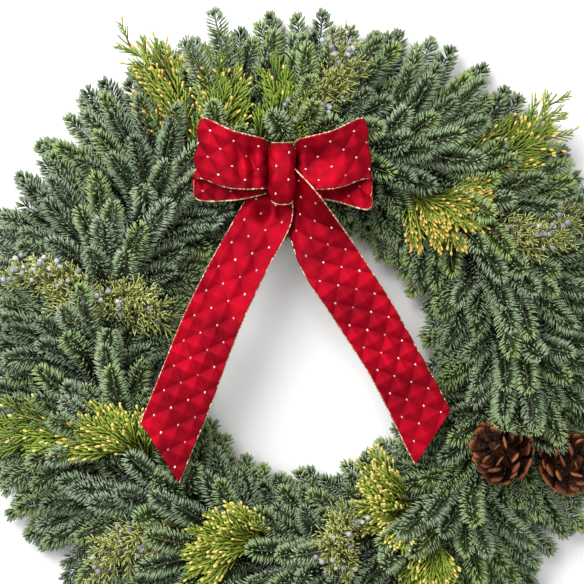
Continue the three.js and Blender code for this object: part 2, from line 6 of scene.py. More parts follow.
import bpy
import numpy as np
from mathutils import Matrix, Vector


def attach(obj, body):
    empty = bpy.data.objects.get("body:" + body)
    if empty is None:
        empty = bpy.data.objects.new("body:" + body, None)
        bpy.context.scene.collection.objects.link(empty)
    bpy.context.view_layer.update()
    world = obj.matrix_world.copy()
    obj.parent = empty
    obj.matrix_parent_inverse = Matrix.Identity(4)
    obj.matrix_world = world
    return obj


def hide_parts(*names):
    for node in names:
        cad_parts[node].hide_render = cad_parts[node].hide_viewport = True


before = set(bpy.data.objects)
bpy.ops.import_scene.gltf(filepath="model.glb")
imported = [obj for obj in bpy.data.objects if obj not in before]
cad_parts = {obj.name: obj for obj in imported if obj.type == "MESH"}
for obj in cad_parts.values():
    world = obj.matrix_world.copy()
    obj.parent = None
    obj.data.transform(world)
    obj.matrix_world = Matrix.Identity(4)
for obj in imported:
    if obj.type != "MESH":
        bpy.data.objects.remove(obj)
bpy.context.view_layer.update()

LOG = logging.getLogger("wreath")
Array = np.ndarray
Random = np.random.Generator
Socket = bpy.types.NodeSocket

# Driving sizes. Lengths are millimetres, but for those of the floor and the lamps, in metres.

MM = 0.001
CLAMPS = 16
CLAMP_STEP = 360 / CLAMPS
INNER_RAIL = 193.0
OUTER_RAIL = 237.0
RAIL_WIRE = 4.0
CLAMP_WIRE = 3.4
WELD_DEPTH = 0.8
CLAMP_TOP = RAIL_WIRE + CLAMP_WIRE - WELD_DEPTH
PRONG_HEIGHT = 33.0
PRONG_REACH = 15.0
PRONG_SLOPE = 6.0
GAP = 0.3
STEM_RADIUS = 3.9
FIR_STEM_HEIGHT = CLAMP_TOP + GAP + STEM_RADIUS
SPRAY_STEM_HEIGHT = FIR_STEM_HEIGHT + 2 * STEM_RADIUS + GAP
WIRE_RADIUS = 1.0
RIBBON_WIDTH = 63.5
RIBBON_THICKNESS = 0.7
LOWEST_LEAF = 0.8
LOWEST_TIP = 7.0
LOWEST_BEND = 9.0
CONE_CLEARANCE = 33.0
GOLDEN_ANGLE = math.pi * (3 - math.sqrt(5))
TINY = 1e-9
RIGHT = np.array([1.0, 0.0, 0.0])
UPRIGHT = np.array([0.0, 1.0, 0.0])
UP = np.array([0.0, 0.0, 1.0])

# The middle of each pine cone and the way its tip points
CONES = [
    (np.array([209.0, -107.0, 70.0]), np.array([-0.55, 0.35, 0.75])),
    (np.array([279.0, -119.0, 60.0]), np.array([0.35, 0.2, 0.9])),
]
# Where each cone's wire meets the outer rail
CONE_WIRE_DEGREES = (-29, -26)


class Row(enum.Enum):
    """Where in its clamp a bunch's stem lies, as the radius of its axis."""

    OUTER = 224.0
    INNER = 206.0


class Kind(enum.Enum):
    """The plants of the wreath."""

    FIR = "fir"
    CEDAR = "cedar"
    JUNIPER = "juniper"


# Placing

def polar(radius: float, degrees: float, height: float) -> Array:
    """Gives the point at a radius, an angle anticlockwise from +X and a height."""
    angle = math.radians(degrees)
    return np.array([radius * math.cos(angle), radius * math.sin(angle), height])


def clockwise(degrees: float) -> Array:
    """Gives the direction along the ring that all the bunches follow."""
    angle = math.radians(degrees)
    return np.array([math.sin(angle), -math.cos(angle), 0.0])


def draw(a: float, b: float) -> float:
    """Gives a fixed draw between -1 and 1 for a pair of numbers, from the fraction of a fast sine."""
    wave = math.sin(a * 12.9898 + b * 78.233) * 43758.5453
    return 2 * (wave - math.floor(wave)) - 1


def unit(vectors: Array) -> Array:
    """Scales vectors along the last axis to length one."""
    return vectors / np.maximum(np.linalg.norm(vectors, axis=-1, keepdims=True), TINY)


def frames(tangent: Array, up: Array) -> tuple[Array, Array]:
    """Gives the two directions across each tangent: one level with `up`, and one that leans to it."""
    side = unit(np.cross(tangent, up))
    return side, np.cross(side, tangent)


def spline(points: Array, t: Array) -> Array:
    """Gives points of a centripetal Catmull-Rom curve.

    Args:
        points: (m, 3) points that the curve passes.
        t: (k,) places, from 0 to 1 over its equal spans.

    Returns:
        (k, 3) points.
    """
    p = np.asarray(points, dtype=float)
    p = np.concatenate([[2 * p[0] - p[1]], p, [2 * p[-1] - p[-2]]])
    spans = len(p) - 3
    place = np.clip(np.asarray(t) * spans, 0, spans - TINY)
    first = place.astype(int)
    s = (place - first)[:, None]
    a, b, c, d = (p[first + k] for k in range(4))
    ab, bc, cd = (np.sum((r - q) ** 2, axis=1)[:, None] ** 0.25 for q, r in ((a, b), (b, c), (c, d)))
    leave = ((b - a) / ab - (c - a) / (ab + bc) + (c - b) / bc) * bc
    arrive = ((c - b) / bc - (d - b) / (bc + cd) + (d - c) / cd) * bc
    square = 3 * c - 3 * b - 2 * leave - arrive
    cube = 2 * b - 2 * c + leave + arrive
    return b + leave * s + square * s**2 + cube * s**3


# Meshes

@dataclass
class Patch:
    """Part of a piece: points, triangles, named values at each point, and which finish it has."""

    points: Array
    triangles: Array
    values: dict[str, Array | float] = field(default_factory=dict)
    finish: int = 0

    def keep_off_floor(self) -> "Patch":
        """Lifts the points that would reach below the surface that the wreath lies on."""
        self.points[:, 2] = np.maximum(self.points[:, 2], LOWEST_LEAF)
        return self


def skin(numbers: Array) -> Array:
    """Gives the triangles between neighbouring rows and columns of a grid of point numbers."""
    a, b, c, d = numbers[:-1, :-1], numbers[1:, :-1], numbers[1:, 1:], numbers[:-1, 1:]
    halves = np.stack([a, b, c], -1), np.stack([a, c, d], -1)
    return np.concatenate([half.reshape(-1, 3) for half in halves])


def rings(rows: int, sides: int) -> Array:
    """Gives the point numbers of closed rings, each with its first point once more at its end."""
    return np.pad(np.arange(rows * sides).reshape(rows, sides), ((0, 0), (0, 1)), "wrap")


def tube(rows: int, sides: int) -> Array:
    """Gives the triangles of a tube through rings of points, with a fan over each end."""
    fan = np.arange(1, sides - 1)
    root = np.stack([0 * fan, fan, fan + 1], -1)
    tip = root[:, [0, 2, 1]] + (rows - 1) * sides
    return np.concatenate([skin(rings(rows, sides)), root, tip])


def copies(triangles: Array, points: int, count: int) -> Array:
    """Repeats the triangles of one form of `points` points for `count` such forms."""
    return (triangles + points * np.arange(count)[:, None, None]).reshape(-1, 3)


def sweep(paths: Array, widths: Array | float, heights: Array | float, sides: int, ups: Array = UP,
          **values: Array | float) -> Patch:
    """Carries elliptical sections along many open paths at once, and closes both ends.

    A section point at angle a is the path point plus width * cos(a) sideways and height * sin(a)
    upward, where sideways is the path's direction crossed with up.

    Args:
        paths: (n, k, 3) points.
        widths: half widths, which broadcast to (n, k).
        heights: half heights, the same.
        sides: corners of a section.
        ups: directions that the sections' upward side leans to, (3,) or (n, 3).
        values: named values, which broadcast to (n, k, sides).

    Returns:
        The swept forms.
    """
    n, k = paths.shape[:2]
    ups = np.broadcast_to(ups, (n, 3))[:, None]
    side, rise = frames(unit(np.gradient(paths, axis=1)), ups)
    angles = 2 * np.pi * np.arange(sides) / sides
    w = np.broadcast_to(widths, (n, k))[..., None, None] * np.cos(angles)[:, None]
    h = np.broadcast_to(heights, (n, k))[..., None, None] * np.sin(angles)[:, None]
    points = paths[:, :, None] + w * side[:, :, None] + h * rise[:, :, None]
    values = {key: np.broadcast_to(value, (n, k, sides)).ravel() for key, value in values.items()}
    return Patch(points.reshape(-1, 3), copies(tube(k, sides), k * sides, n), values)


def ellipsoids(centres: Array, axes: Array, rows: int, sides: int, tone: Array | float,
               finish: int = 0) -> Patch:
    """Makes many ellipsoids, each with two poles and closed skin.

    Args:
        centres: (n, 3) middles.
        axes: (n, 3, 3) half axes, right-handed, the last of which runs from pole to pole.
        rows: rings of points between the poles.
        sides: points of a ring.
        tone: the value `tone`, which broadcasts to (n, rows * sides + 2), the poles last.
        finish: which finish they have.

    Returns:
        The ellipsoids.
    """
    from_pole = np.pi * (np.arange(rows) + 1) / (rows + 1)
    turn = 2 * np.pi * np.arange(sides) / sides
    from_pole, turn = np.meshgrid(from_pole, turn, indexing="ij")
    wide = np.sin(from_pole)
    ball = np.stack([wide * np.cos(turn), wide * np.sin(turn), -np.cos(from_pole)], -1)
    ball = np.concatenate([ball.reshape(-1, 3), [[0, 0, -1], [0, 0, 1]]])
    points = centres[:, None] + np.einsum("pa,nac->npc", ball, axes)
    numbers = rings(rows, sides)
    first, last = numbers[0], numbers[-1]
    low = np.stack([first[1:], first[:-1], np.full(sides, rows * sides)], -1)
    high = np.stack([last[:-1], last[1:], np.full(sides, rows * sides + 1)], -1)
    one = np.concatenate([low, skin(numbers.T), high])
    tone = np.broadcast_to(tone, (len(centres), len(ball))).ravel()
    return Patch(points.reshape(-1, 3), copies(one, len(ball), len(centres)), {"tone": tone}, finish)


def link(name: str, data: bpy.types.ID) -> bpy.types.Object:
    """Puts a new object into the scene."""
    new = bpy.data.objects.new(name, data)
    bpy.context.scene.collection.objects.link(new)
    return new


def make_mesh(name: str, patches: list[Patch]) -> bpy.types.Mesh:
    """Makes a smooth mesh from patches, with their values at its points."""
    starts = np.cumsum([0] + [len(patch.points) for patch in patches])
    points = np.concatenate([patch.points for patch in patches]) * MM
    triangles = np.concatenate([patch.triangles + start for patch, start in zip(patches, starts)])
    places = np.concatenate([np.full(len(patch.triangles), patch.finish) for patch in patches])
    mesh = bpy.data.meshes.new(name)
    mesh.vertices.add(len(points))
    mesh.vertices.foreach_set("co", points.astype(np.float32).ravel())
    mesh.loops.add(triangles.size)
    mesh.loops.foreach_set("vertex_index", triangles.astype(np.int32).ravel())
    mesh.polygons.add(len(triangles))
    mesh.polygons.foreach_set("loop_start", np.arange(0, triangles.size, 3, dtype=np.int32))
    mesh.polygons.foreach_set("loop_total", np.full(len(triangles), 3, dtype=np.int32))
    mesh.polygons.foreach_set("material_index", places.astype(np.int32))
    mesh.polygons.foreach_set("use_smooth", np.ones(len(triangles), dtype=bool))
    for key in sorted({key for patch in patches for key in patch.values}):
        values = [np.broadcast_to(patch.values.get(key, 0.0), len(patch.points)) for patch in patches]
        attribute = mesh.attributes.new(key, "FLOAT", "POINT")
        attribute.data.foreach_set("value", np.concatenate(values).astype(np.float32))
    mesh.update()
    return mesh


def make_piece(name: str, patches: list[Patch], finishes: list["Finish"],
               node: str | None = None) -> bpy.types.Object:
    """Makes one object from patches, dresses it and puts it on the wreath.

    Args:
        name: the piece's name.
        patches: its parts.
        finishes: its finishes, in the order that the patches count them.
        node: the CAD node that it replaces.

    Returns:
        The new object.
    """
    mesh = make_mesh(name, patches)
    for finish in finishes:
        mesh.materials.append(bpy.data.materials.get(finish.name) or finish.material())
    piece = link(name, mesh)
    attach(piece, "root")
    if node:
        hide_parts(node)
    LOG.info("%s: %d triangles", name, len(mesh.polygons))
    return piece


# Finishes

def linear(hex_colour: str) -> tuple[float, float, float, float]:
    """Turns an sRGB hex colour into Blender's linear colour."""
    parts = [int(hex_colour[i:i + 2], 16) / 255 for i in (1, 3, 5)]
    return (*(p / 12.92 if p <= 0.04045 else ((p + 0.055) / 1.055) ** 2.4 for p in parts), 1.0)


def add_node(tree: bpy.types.NodeTree, kind: str, settings: dict | None = None,
             inputs: dict | None = None) -> bpy.types.Node:
    """Adds a node to a tree.

    Args:
        tree: the material's or world's tree.
        kind: the node's type name.
        settings: values of the node's own properties.
        inputs: for each input's name or number, a value or the socket that feeds it.

    Returns:
        The new node.
    """
    node = tree.nodes.new(kind)
    for key, value in (settings or {}).items():
        setattr(node, key, value)
    for key, value in (inputs or {}).items():
        if isinstance(value, Socket):
            tree.links.new(value, node.inputs[key])
        else:
            node.inputs[key].default_value = value
    return node


class Shading:
    """A material under construction: short calls for the nodes that the finishes share."""

    def __init__(self, name: str) -> None:
        self.material = bpy.data.materials.new(name)
        self.material.use_nodes = True
        self.tree = self.material.node_tree
        self.tree.nodes.clear()

    def add(self, kind: str, output: int | str, inputs: dict, **settings: str) -> Socket:
        """Adds a node and gives one of its outputs."""
        return add_node(self.tree, kind, settings, inputs).outputs[output]

    def value(self, name: str) -> Socket:
        """Reads a named value of the mesh's points."""
        return self.add("ShaderNodeAttribute", "Fac", {}, attribute_name=name)

    def math(self, operation: str, a: object, b: object = 0.0) -> Socket:
        """Joins two numbers by one operation."""
        return self.add("ShaderNodeMath", 0, {0: a, 1: b}, operation=operation)

    def mix(self, share: object, a: object, b: object) -> Socket:
        """Mixes two colours, given as hex or sockets, by a share from 0 to 1.

        A mix node takes its colours at inputs 6 and 7 and gives one at output 2.
        """
        a, b = (linear(colour) if isinstance(colour, str) else colour for colour in (a, b))
        return self.add("ShaderNodeMix", 2, {0: share, 6: a, 7: b}, data_type="RGBA")

    def spread(self, value: object, low: float, high: float) -> Socket:
        """Stretches the range from low to high over 0 to 1, and cuts off the rest."""
        return self.add("ShaderNodeMapRange", 0, {"Value": value, 1: low, 2: high})

    def noise(self, size: float, detail: float = 2.0) -> Socket:
        """Gives a soft noise with blotches about `size` mm across."""
        place = self.add("ShaderNodeTexCoord", "Object", {})
        inputs = {"Vector": place, "Scale": 1 / (size * MM), "Detail": detail}
        return self.add("ShaderNodeTexNoise", "Fac", inputs)

    def blotches(self, size: float, height: float) -> Socket:
        """Gives distinct blotches about `size` mm across, from 0 to `height`."""
        return self.math("MULTIPLY", self.spread(self.noise(size), 0.3, 0.7), height)

    def bump(self, height: object, depth: float) -> Socket:
        """Gives the normals of a relief that is `depth` mm deep."""
        return self.add("ShaderNodeBump", 0, {"Height": height, "Distance": depth * MM})

    def finish(self, inputs: dict) -> bpy.types.Material:
        """Adds the principled shader with its inputs, and gives the material."""
        shader = add_node(self.tree, "ShaderNodeBsdfPrincipled", inputs=inputs)
        add_node(self.tree, "ShaderNodeOutputMaterial", inputs={"Surface": shader.outputs["BSDF"]})
        return self.material


@dataclass(frozen=True)
class LeafFinish:
    """Living leaves with a waxy skin.

    The value `tone` picks between shade and light, `along` runs from a leaf's root to its tip,
    `young` is 1 on new growth, and `bark` is 1 on wood. Towards the root the colour darkens to
    `deep`, as painted shade among the leaves and twigs.
    """

    name: str
    # painted shade: the colour that leaves and twigs darken to at their roots
    deep: str
    shade: str
    middle: str
    light: str
    tip: str
    young: str
    bark: str
    roughness: float = 0.48

    def material(self) -> bpy.types.Material:
        """Builds the material."""
        make = Shading(self.name)
        tone = make.math("ADD", make.blotches(30.0, 0.3), make.value("tone"))
        low = make.mix(make.spread(tone, 0.0, 0.6), self.shade, self.middle)
        body = make.mix(make.spread(tone, 0.55, 1.15), low, self.light)
        fresh = make.mix(make.value("young"), body, self.young)
        # Painted shade: darker towards the roots of leaves and twigs
        root_shaded = make.mix(make.spread(make.value("along"), -0.1, 0.6), self.deep, fresh)
        tipped = make.mix(make.spread(make.value("along"), 0.4, 1.6), root_shaded, self.tip)
        wooden = make.mix(make.value("bark"), tipped, self.bark)
        bump = make.bump(make.noise(1.2, 1.0), 0.15)
        return make.finish({"Base Color": wooden, "Roughness": self.roughness, "Normal": bump,
                            "IOR": 1.45, "Specular IOR Level": 0.35})


@dataclass(frozen=True)
class DullFinish:
    """A natural or painted skin of two colours, with a fine relief.

    `blotch` is the size of its blotches and `patches` how much they lighten it. `relief` and `grain`
    are the depth and the size of the relief. The value `tone` adds to the share of the light colour.
    """

    name: str
    dark: str
    light: str
    blotch: float
    roughness: float
    relief: float = 0.1
    grain: float = 1.0
    metallic: float = 0.0
    patches: float = 0.4
    shine: float = 0.5

    def material(self) -> bpy.types.Material:
        """Builds the material."""
        make = Shading(self.name)
        tone = make.math("ADD", make.blotches(self.blotch, self.patches), make.value("tone"))
        colour = make.mix(make.spread(tone, 0.0, 1.2), self.dark, self.light)
        bump = make.bump(make.noise(self.grain, 3.0), self.relief)
        return make.finish({"Base Color": colour, "Roughness": self.roughness, "Normal": bump,
                            "Metallic": self.metallic, "Specular IOR Level": self.shine})


@dataclass(frozen=True)
class SatinFinish:
    """Woven satin with a soft sheen.

    The values `across` and `run` are places on the cloth in mm, and `puff` is the quilting's height.
    The colour turns towards `bright` at random and, as painted highlight, where the quilting puffs up.
    """

    name: str
    deep: str
    bright: str
    thread: float = 0.9

    def material(self) -> bpy.types.Material:
        """Builds the material."""
        make = Shading(self.name)
        random_amount = make.spread(make.noise(38.0, 1.0), 0.35, 0.65)
        # Painted highlight: the colour turns towards `bright` where the quilting puffs up; the rest of
        # the mix is random
        puff_highlight = make.math("MULTIPLY", make.value("puff"), 0.4)
        share = make.math("ADD", make.math("MULTIPLY", random_amount, 0.6), puff_highlight)
        colour = make.mix(share, self.deep, self.bright)
        turns = 2 * math.pi / self.thread
        threads = [make.math("SINE", make.math("MULTIPLY", make.value(key), turns))
                   for key in ("across", "run")]
        weave = make.bump(make.math("ADD", *threads), 0.04)
        return make.finish({"Base Color": colour, "Roughness": 0.45, "Normal": weave, "IOR": 1.45,
                            "Metallic": 0.55, "Specular Tint": linear("#ff6474")})


Finish = LeafFinish | DullFinish | SatinFinish

FIR_NEEDLES = LeafFinish("fir_needles", deep="#050a02", shade="#182610", middle="#405a38",
                         light="#8ea184", tip="#b2c0a4", young="#8fab44", bark="#36351b",
                         roughness=0.55)
CEDAR_LEAVES = LeafFinish("cedar_leaves", deep="#122008", shade="#304c0d", middle="#56781a",
                          light="#8aa033", tip="#a9ba4a", young="#a6a23e", bark="#6b4a28")
JUNIPER_LEAVES = LeafFinish("juniper_leaves", deep="#33361a", shade="#6b7334", middle="#a4b055",
                            light="#ccd47e", tip="#dfe29a", young="#b4b452", bark="#5e3823")
POLLEN_CONES = DullFinish("pollen_cones", "#dcd272", "#c79640", 4.0, 0.7, 0.3, patches=0.2)
BERRIES = DullFinish("berries", "#4d5058", "#bcbfc6", 2.5, 0.6, 0.05, 0.8)
# Its near-black colour is painted shade on the scale faces and core; its light colour, on the lips, is
# partly their own colour and partly painted light
CONE_SCALES = DullFinish("cone_scales", "#130402", "#a5633e", 2.6, 0.7, 1.2, 1.6, patches=0.3,
                         shine=0.15)
RED_SATIN = SatinFinish("red_satin", "#6a0312", "#aa061e")
# Its near-white light colour is painted glint on the cord's swollen strands
GOLD_EDGE = DullFinish("gold_edge", "#8f4f30", "#ffecc4", 1.2, 0.35, 0.3, 0.7, 0.4, 0.1)
PEARLS = DullFinish("pearls", "#a8625f", "#ecdccf", 3.0, 0.3, 0.0, patches=0.1)
GREEN_WIRE = DullFinish("green_wire", "#2a3a2e", "#44574a", 12.0, 0.45, 0.05, metallic=0.3)


# The bow's shapes

@dataclass(frozen=True)
class KnotSize:
    """The middle of the bow: a band of ribbon wrapped round the gathered loops."""

    x: float = -27.5
    y: float = 189.3
    width: float = 33.0
    height: float = 60.5
    back: float = 90.0
    front: float = 130.0


KNOT = KnotSize()
TAIL_TOP = KNOT.back - 0.5
# A cell of the quilting is a square on its corner, and four and a half half cells fill the width
HALF_CELL = RIBBON_WIDTH / 4.5
CELL_STEPS = 8
STEP = HALF_CELL / CELL_STEPS
PUFF = 3.6
PEARL_COLUMNS = 4
FIRST_PEARL = 0.75
CORD_RADIUS = 0.68
CORD_SWELL = 0.34
STRIP_STEPS = 300


def quilting(across: Array, run: Array) -> Array:
    """Gives the height of the quilting, from 0 on its stitched lines to 1 at the middle of a cell.

    The stitched lines cross at 45 degrees to the ribbon, two half cells apart. In a cell the height
    is the distance from the nearest line, which makes a four-sided pyramid.
    """
    p = across / HALF_CELL - FIRST_PEARL
    q = run / HALF_CELL
    ridge_a = 1 - np.abs(2 * np.mod((p + q) / 2, 1) - 1)
    ridge_b = 1 - np.abs(2 * np.mod((p - q) / 2, 1) - 1)
    return np.minimum(ridge_a, ridge_b)


def twisted_cord(path: Array, up: Array, pressed: Array | float = 0.0) -> Patch:
    """Gives a twisted metallic cord along a path, whose strands swell irregularly. The more swollen
    strands are coloured lighter, as painted glints.

    `pressed` is 1 where the cord is pressed thin.
    """
    rng = np.random.default_rng(len(path))
    swell_and_glint = np.repeat(rng.random(len(path) // 2 + 1), 2)[:len(path)]
    radius = (CORD_RADIUS + CORD_SWELL * swell_and_glint) * (1 - 0.8 * pressed)
    # Painted glints: the colour lightens with the swell
    return sweep(path[None], radius, radius, 4, up, tone=swell_and_glint[:, None] ** 1.5)


def oval_pearls(centre: Array, normal: Array, along: Array, half: tuple[float, float],
                tone: Array | float, scale: Array | float = 1.0, rows: int = 4,
                sides: int = 7) -> Patch:
    """Gives oval pearls that lie along a ribbon. `half` is their half width and half length."""
    axes = np.stack([half[0] * np.cross(normal, along), half[0] * normal, half[1] * along], axis=1)
    return ellipsoids(centre, scale * axes, rows, sides, tone)


@dataclass
class Strip:
    """A ribbon laid along a curve: its middle line, and its whole width as a vector across that.

    `facing` is 1 where along crossed with across points out of the ribbon's best side. `slant` is
    how far the far edge runs on beyond the near edge at the cut end. `folds` and `sag` are how deep
    the gathered start is pleated and hollowed, and `crease` how deep two creases cross it. `dents`
    are round hollows, each by how far along it is, its share across, its radius and its depth.
    `looped` is 1 on a loop.
    """

    name: str
    middle: Array
    across: Array
    facing: float = 1.0
    slant: float = 0.0
    folds: float = 0.0
    sag: float = 0.0
    crease: float = 0.0
    dents: tuple = ()
    looped: float = 0.0

    HOLLOW_LENGTH = 75.0
    WAVE_LENGTH = 37.0
    CREASES = (17.0, 31.0)
    CREASE_SLANT = 9.0
    CREASE_HALF_WIDTH = 4.5
    CORD_STEP = 0.9
    FULLEST = 0.62
    NUDGE = 0.5

    def __post_init__(self) -> None:
        steps = np.linalg.norm(np.diff(self.middle, axis=0), axis=1)
        self.reach = np.concatenate([[0.0], np.cumsum(steps)])
        self.length = self.reach[-1] - abs(self.slant) / 2

    def bare(self, run: Array, v: Array) -> Array:
        """Gives points of the unquilted surface, at `run` mm along and at share v across."""
        middle = np.stack([np.interp(run, self.reach, self.middle[:, k]) for k in range(3)], -1)
        across = np.stack([np.interp(run, self.reach, self.across[:, k]) for k in range(3)], -1)
        gathered = np.clip(1 - np.linalg.norm(across, axis=-1) / RIBBON_WIDTH, 0, 1)
        fold = self.folds * np.sqrt(gathered) * np.sin(4 * np.pi * v + 0.01 * run)
        wave = 0.4 * self.folds * np.sin(run / self.WAVE_LENGTH + 2.2 * v) * np.clip(run / 60, 0, 1)
        hollow = self.sag * np.clip(1 - run / self.HOLLOW_LENGTH, 0, 1) * np.sin(np.pi * v)
        slanting = (run - place - self.CREASE_SLANT * v for place in self.CREASES)
        creases = sum(np.exp(-(away / self.CREASE_HALF_WIDTH) ** 2) for away in slanting)
        point = middle + (v - 0.5)[..., None] * across
        point[..., 2] += fold + wave - hollow - self.crease * creases * np.sin(np.pi * v)
        for place, share, radius, depth in self.dents:
            away = np.hypot(run - place, (v - share) * RIBBON_WIDTH) / radius
            point[..., 2] -= depth * np.exp(-away**2)
        return point

    def grid(self) -> tuple[Array, Array]:
        """Gives the places of the grid's points: how far along, and the share across.

        The rows keep step with the quilting up to the cut end, where they fan out to its slant.
        """
        columns = round(RIBBON_WIDTH / STEP)
        v = np.arange(columns + 1) / columns
        end = self.length + (v - 0.5) * self.slant
        last = int((end.min() - STEP) / STEP)
        even = np.arange(last + 1)[:, None] * STEP + 0 * v
        count = max(1, math.ceil((end.max() - last * STEP) / STEP))
        fanned = last * STEP + (end - last * STEP) * np.arange(1, count + 1)[:, None] / count
        run = np.concatenate([even, fanned])
        return run, np.broadcast_to(v, run.shape)

    def along(self, run: Array, v: Array) -> Array:
        """Gives the way that the bare surface runs."""
        return self.bare(run + self.NUDGE, v) - self.bare(run - self.NUDGE, v)

    def surface(self, run: Array, v: Array) -> tuple[Array, Array]:
        """Gives points of the bare surface and its normals, out of the best side."""
        over = self.bare(run, v + 0.01) - self.bare(run, v - 0.01)
        return self.bare(run, v), unit(np.cross(self.along(run, v), over)) * self.facing

    def cloth(self) -> Patch:
        """Gives the quilted ribbon as a closed thin solid."""
        run, v = self.grid()
        points, normals = self.surface(run, v)
        puff = quilting(v * RIBBON_WIDTH, run)
        lifted = points + normals * (PUFF * self.fullness(run, v) * puff**0.9)[..., None]
        half = normals * self.facing * RIBBON_THICKNESS / 2
        both = np.concatenate([(lifted + half).reshape(-1, 3), (lifted - half).reshape(-1, 3)])
        top = self._creased(puff)
        index = np.arange(puff.size).reshape(puff.shape)
        rim = np.concatenate([index[:-1, 0], index[-1, :-1], index[:0:-1, -1], index[0, :0:-1]])
        back = np.append(rim, rim[0])[::-1]
        wall = skin(np.stack([back, back + puff.size], -1))
        values = {"across": v * RIBBON_WIDTH, "run": run, "puff": puff}
        return Patch(both, np.concatenate([top, top[:, ::-1] + puff.size, wall]),
                     {key: np.tile(value.ravel(), 2) for key, value in values.items()})

    @staticmethod
    def _creased(puff: Array) -> Array:
        """Gives the triangles of the grid, each square split along the more level of its diagonals."""
        rows, columns = puff.shape
        a = (np.arange(rows - 1)[:, None] * columns + np.arange(columns - 1)).ravel()
        b, c, d = a + columns, a + columns + 1, a + 1
        height = puff.ravel()
        main = (np.abs(height[a] - height[c]) <= np.abs(height[b] - height[d]))[:, None]
        first = np.where(main, np.stack([a, b, c], -1), np.stack([a, b, d], -1))
        second = np.where(main, np.stack([a, c, d], -1), np.stack([b, c, d], -1))
        return np.concatenate([first, second])

    def pressed(self, run: Array) -> Array:
        """Says how sharply a loop is folded at `run`: 1 at its outer end, 0 elsewhere."""
        x = self.middle[:, 0]
        short = np.abs(x - x[0]).max() - np.abs(np.interp(run, self.reach, x) - x[0])
        return self.looped * np.clip(2.4 - short / 1.2, 0, 1)

    def fullness(self, run: Array, v: Array) -> Array:
        """Says how far the quilting stands up, which is most beyond the middle of a stretch."""
        middle = np.exp(-((run / self.reach[-1] - self.FULLEST) / 0.26) ** 2)
        return 0.5 + 0.5 * middle + 0.12 * np.sin(run / 19 + 5 * v)

    def edge_cords(self) -> list[Patch]:
        """Gives the twisted metallic wires sewn along both edges."""
        patches = []
        for v in (0.0, 1.0):
            run = np.arange(0, self.length + (v - 0.5) * self.slant, self.CORD_STEP)
            pressed = self.pressed(run)
            path = self.bare(run, v + (0.5 - v) * 0.03 * pressed)
            patches.append(twisted_cord(path, UP, pressed))
        return patches

    def pearls(self) -> Patch:
        """Gives the small oval pearls sewn on where the quilting's lines cross."""
        p, q = np.meshgrid(np.arange(PEARL_COLUMNS), np.arange(1, int(self.reach[-1] / HALF_CELL) + 1))
        v = (p.ravel() + FIRST_PEARL) * HALF_CELL / RIBBON_WIDTH
        run = q.ravel() * HALF_CELL
        inside = ((p + q).ravel() % 2 == 0) & (run < self.length + (v - 0.5) * self.slant - 3)
        v, run = v[inside], run[inside]
        centre, normal = self.surface(run, v)
        along = unit(self.along(run, v))
        rng = np.random.default_rng(len(run))
        size = rng.uniform(0.85, 1.15, len(run))[:, None, None]
        tone = 1.2 * rng.random((len(run), 1))
        return oval_pearls(centre + 0.3 * normal, normal, along, (1.05, 1.35), tone, size)


def tail_strip(name: str, near: list, far: list, sag: float, dents: tuple = ()) -> Strip:
    """Makes a tail from the curves of its two edges, which are the outlines that it has in plan.

    Args:
        name: the tail's name.
        near: points of the edge that its run starts with.
        far: points of the other edge.
        sag: how deep its start is hollowed.
        dents: its round hollows.

    Returns:
        The tail.
    """
    t = np.linspace(0, 1, STRIP_STEPS)
    a, b = spline(near, t), spline(far, t)
    middle = (a + b) / 2
    tangent = unit(np.gradient(middle, axis=0))
    lean = np.sum((b - a) * tangent, axis=1)
    across = (b - a) - lean[:, None] * tangent
    beyond = middle[-1] + tangent[-1] * abs(lean[-1]) / 2
    middle = np.concatenate([middle, [beyond]])
    across = np.concatenate([across, across[-1:]])
    return Strip(name, middle, across, 1.0, lean[-1], 2.8, sag, dents=dents)


def loop_strip(name: str, direction: float, reach: float, lift: float, drop: float, behind: float,
               sag: float, crease: float, dents: tuple = ()) -> Strip:
    """Makes a loop, which runs out from the front of the knot, bends round and comes back behind it.

    Args:
        name: the loop's name.
        direction: 1 to the right, -1 to the left.
        reach: how far its outer end lies from the knot's middle.
        lift: how far its front rises on the way out.
        drop: how far it sinks in the bend.
        behind: how far its back stands before the knot's back.
        sag: how deep its start is hollowed.
        crease: how deep two creases cross it.
        dents: its round hollows.

    Returns:
        The loop.
    """
    start_x = KNOT.x + direction * (KNOT.width / 2 - 1)
    end_x = KNOT.x + direction * reach
    middle_x = (start_x + end_x) / 2
    bend_x = end_x - direction * 1.2
    path = [[start_x, KNOT.y + 8, KNOT.front - 10],
            [middle_x, KNOT.y + 0.5 * lift, KNOT.front - 3],
            [bend_x, KNOT.y + lift, KNOT.front - 16],
            [end_x, KNOT.y + lift - 0.5 * drop, KNOT.back + 20],
            [bend_x, KNOT.y + lift - drop, KNOT.back + 16],
            [middle_x, KNOT.y, KNOT.back + behind],
            [start_x, KNOT.y + 4, KNOT.back + 6]]
    t = np.linspace(0, 1, STRIP_STEPS)
    middle = spline(path, t)
    hump = np.sin(np.pi * t)
    width = RIBBON_WIDTH * (0.77 + 0.23 * hump**0.6)
    across = np.stack([-0.13 * direction * hump * width, width, 9 * np.sin(2 * np.pi * t)], -1)
    near_knot = np.abs(middle[:, 0] - start_x)
    ripple = 2.4 * np.sin(near_knot / 3.2) * np.exp(-near_knot / 22)
    middle[:, 2] += np.where(t < 0.5, ripple - 8 * np.exp(-near_knot / 5), 0.0)
    return Strip(name, middle, across, direction, sag=sag, crease=crease, dents=dents, looped=1.0)


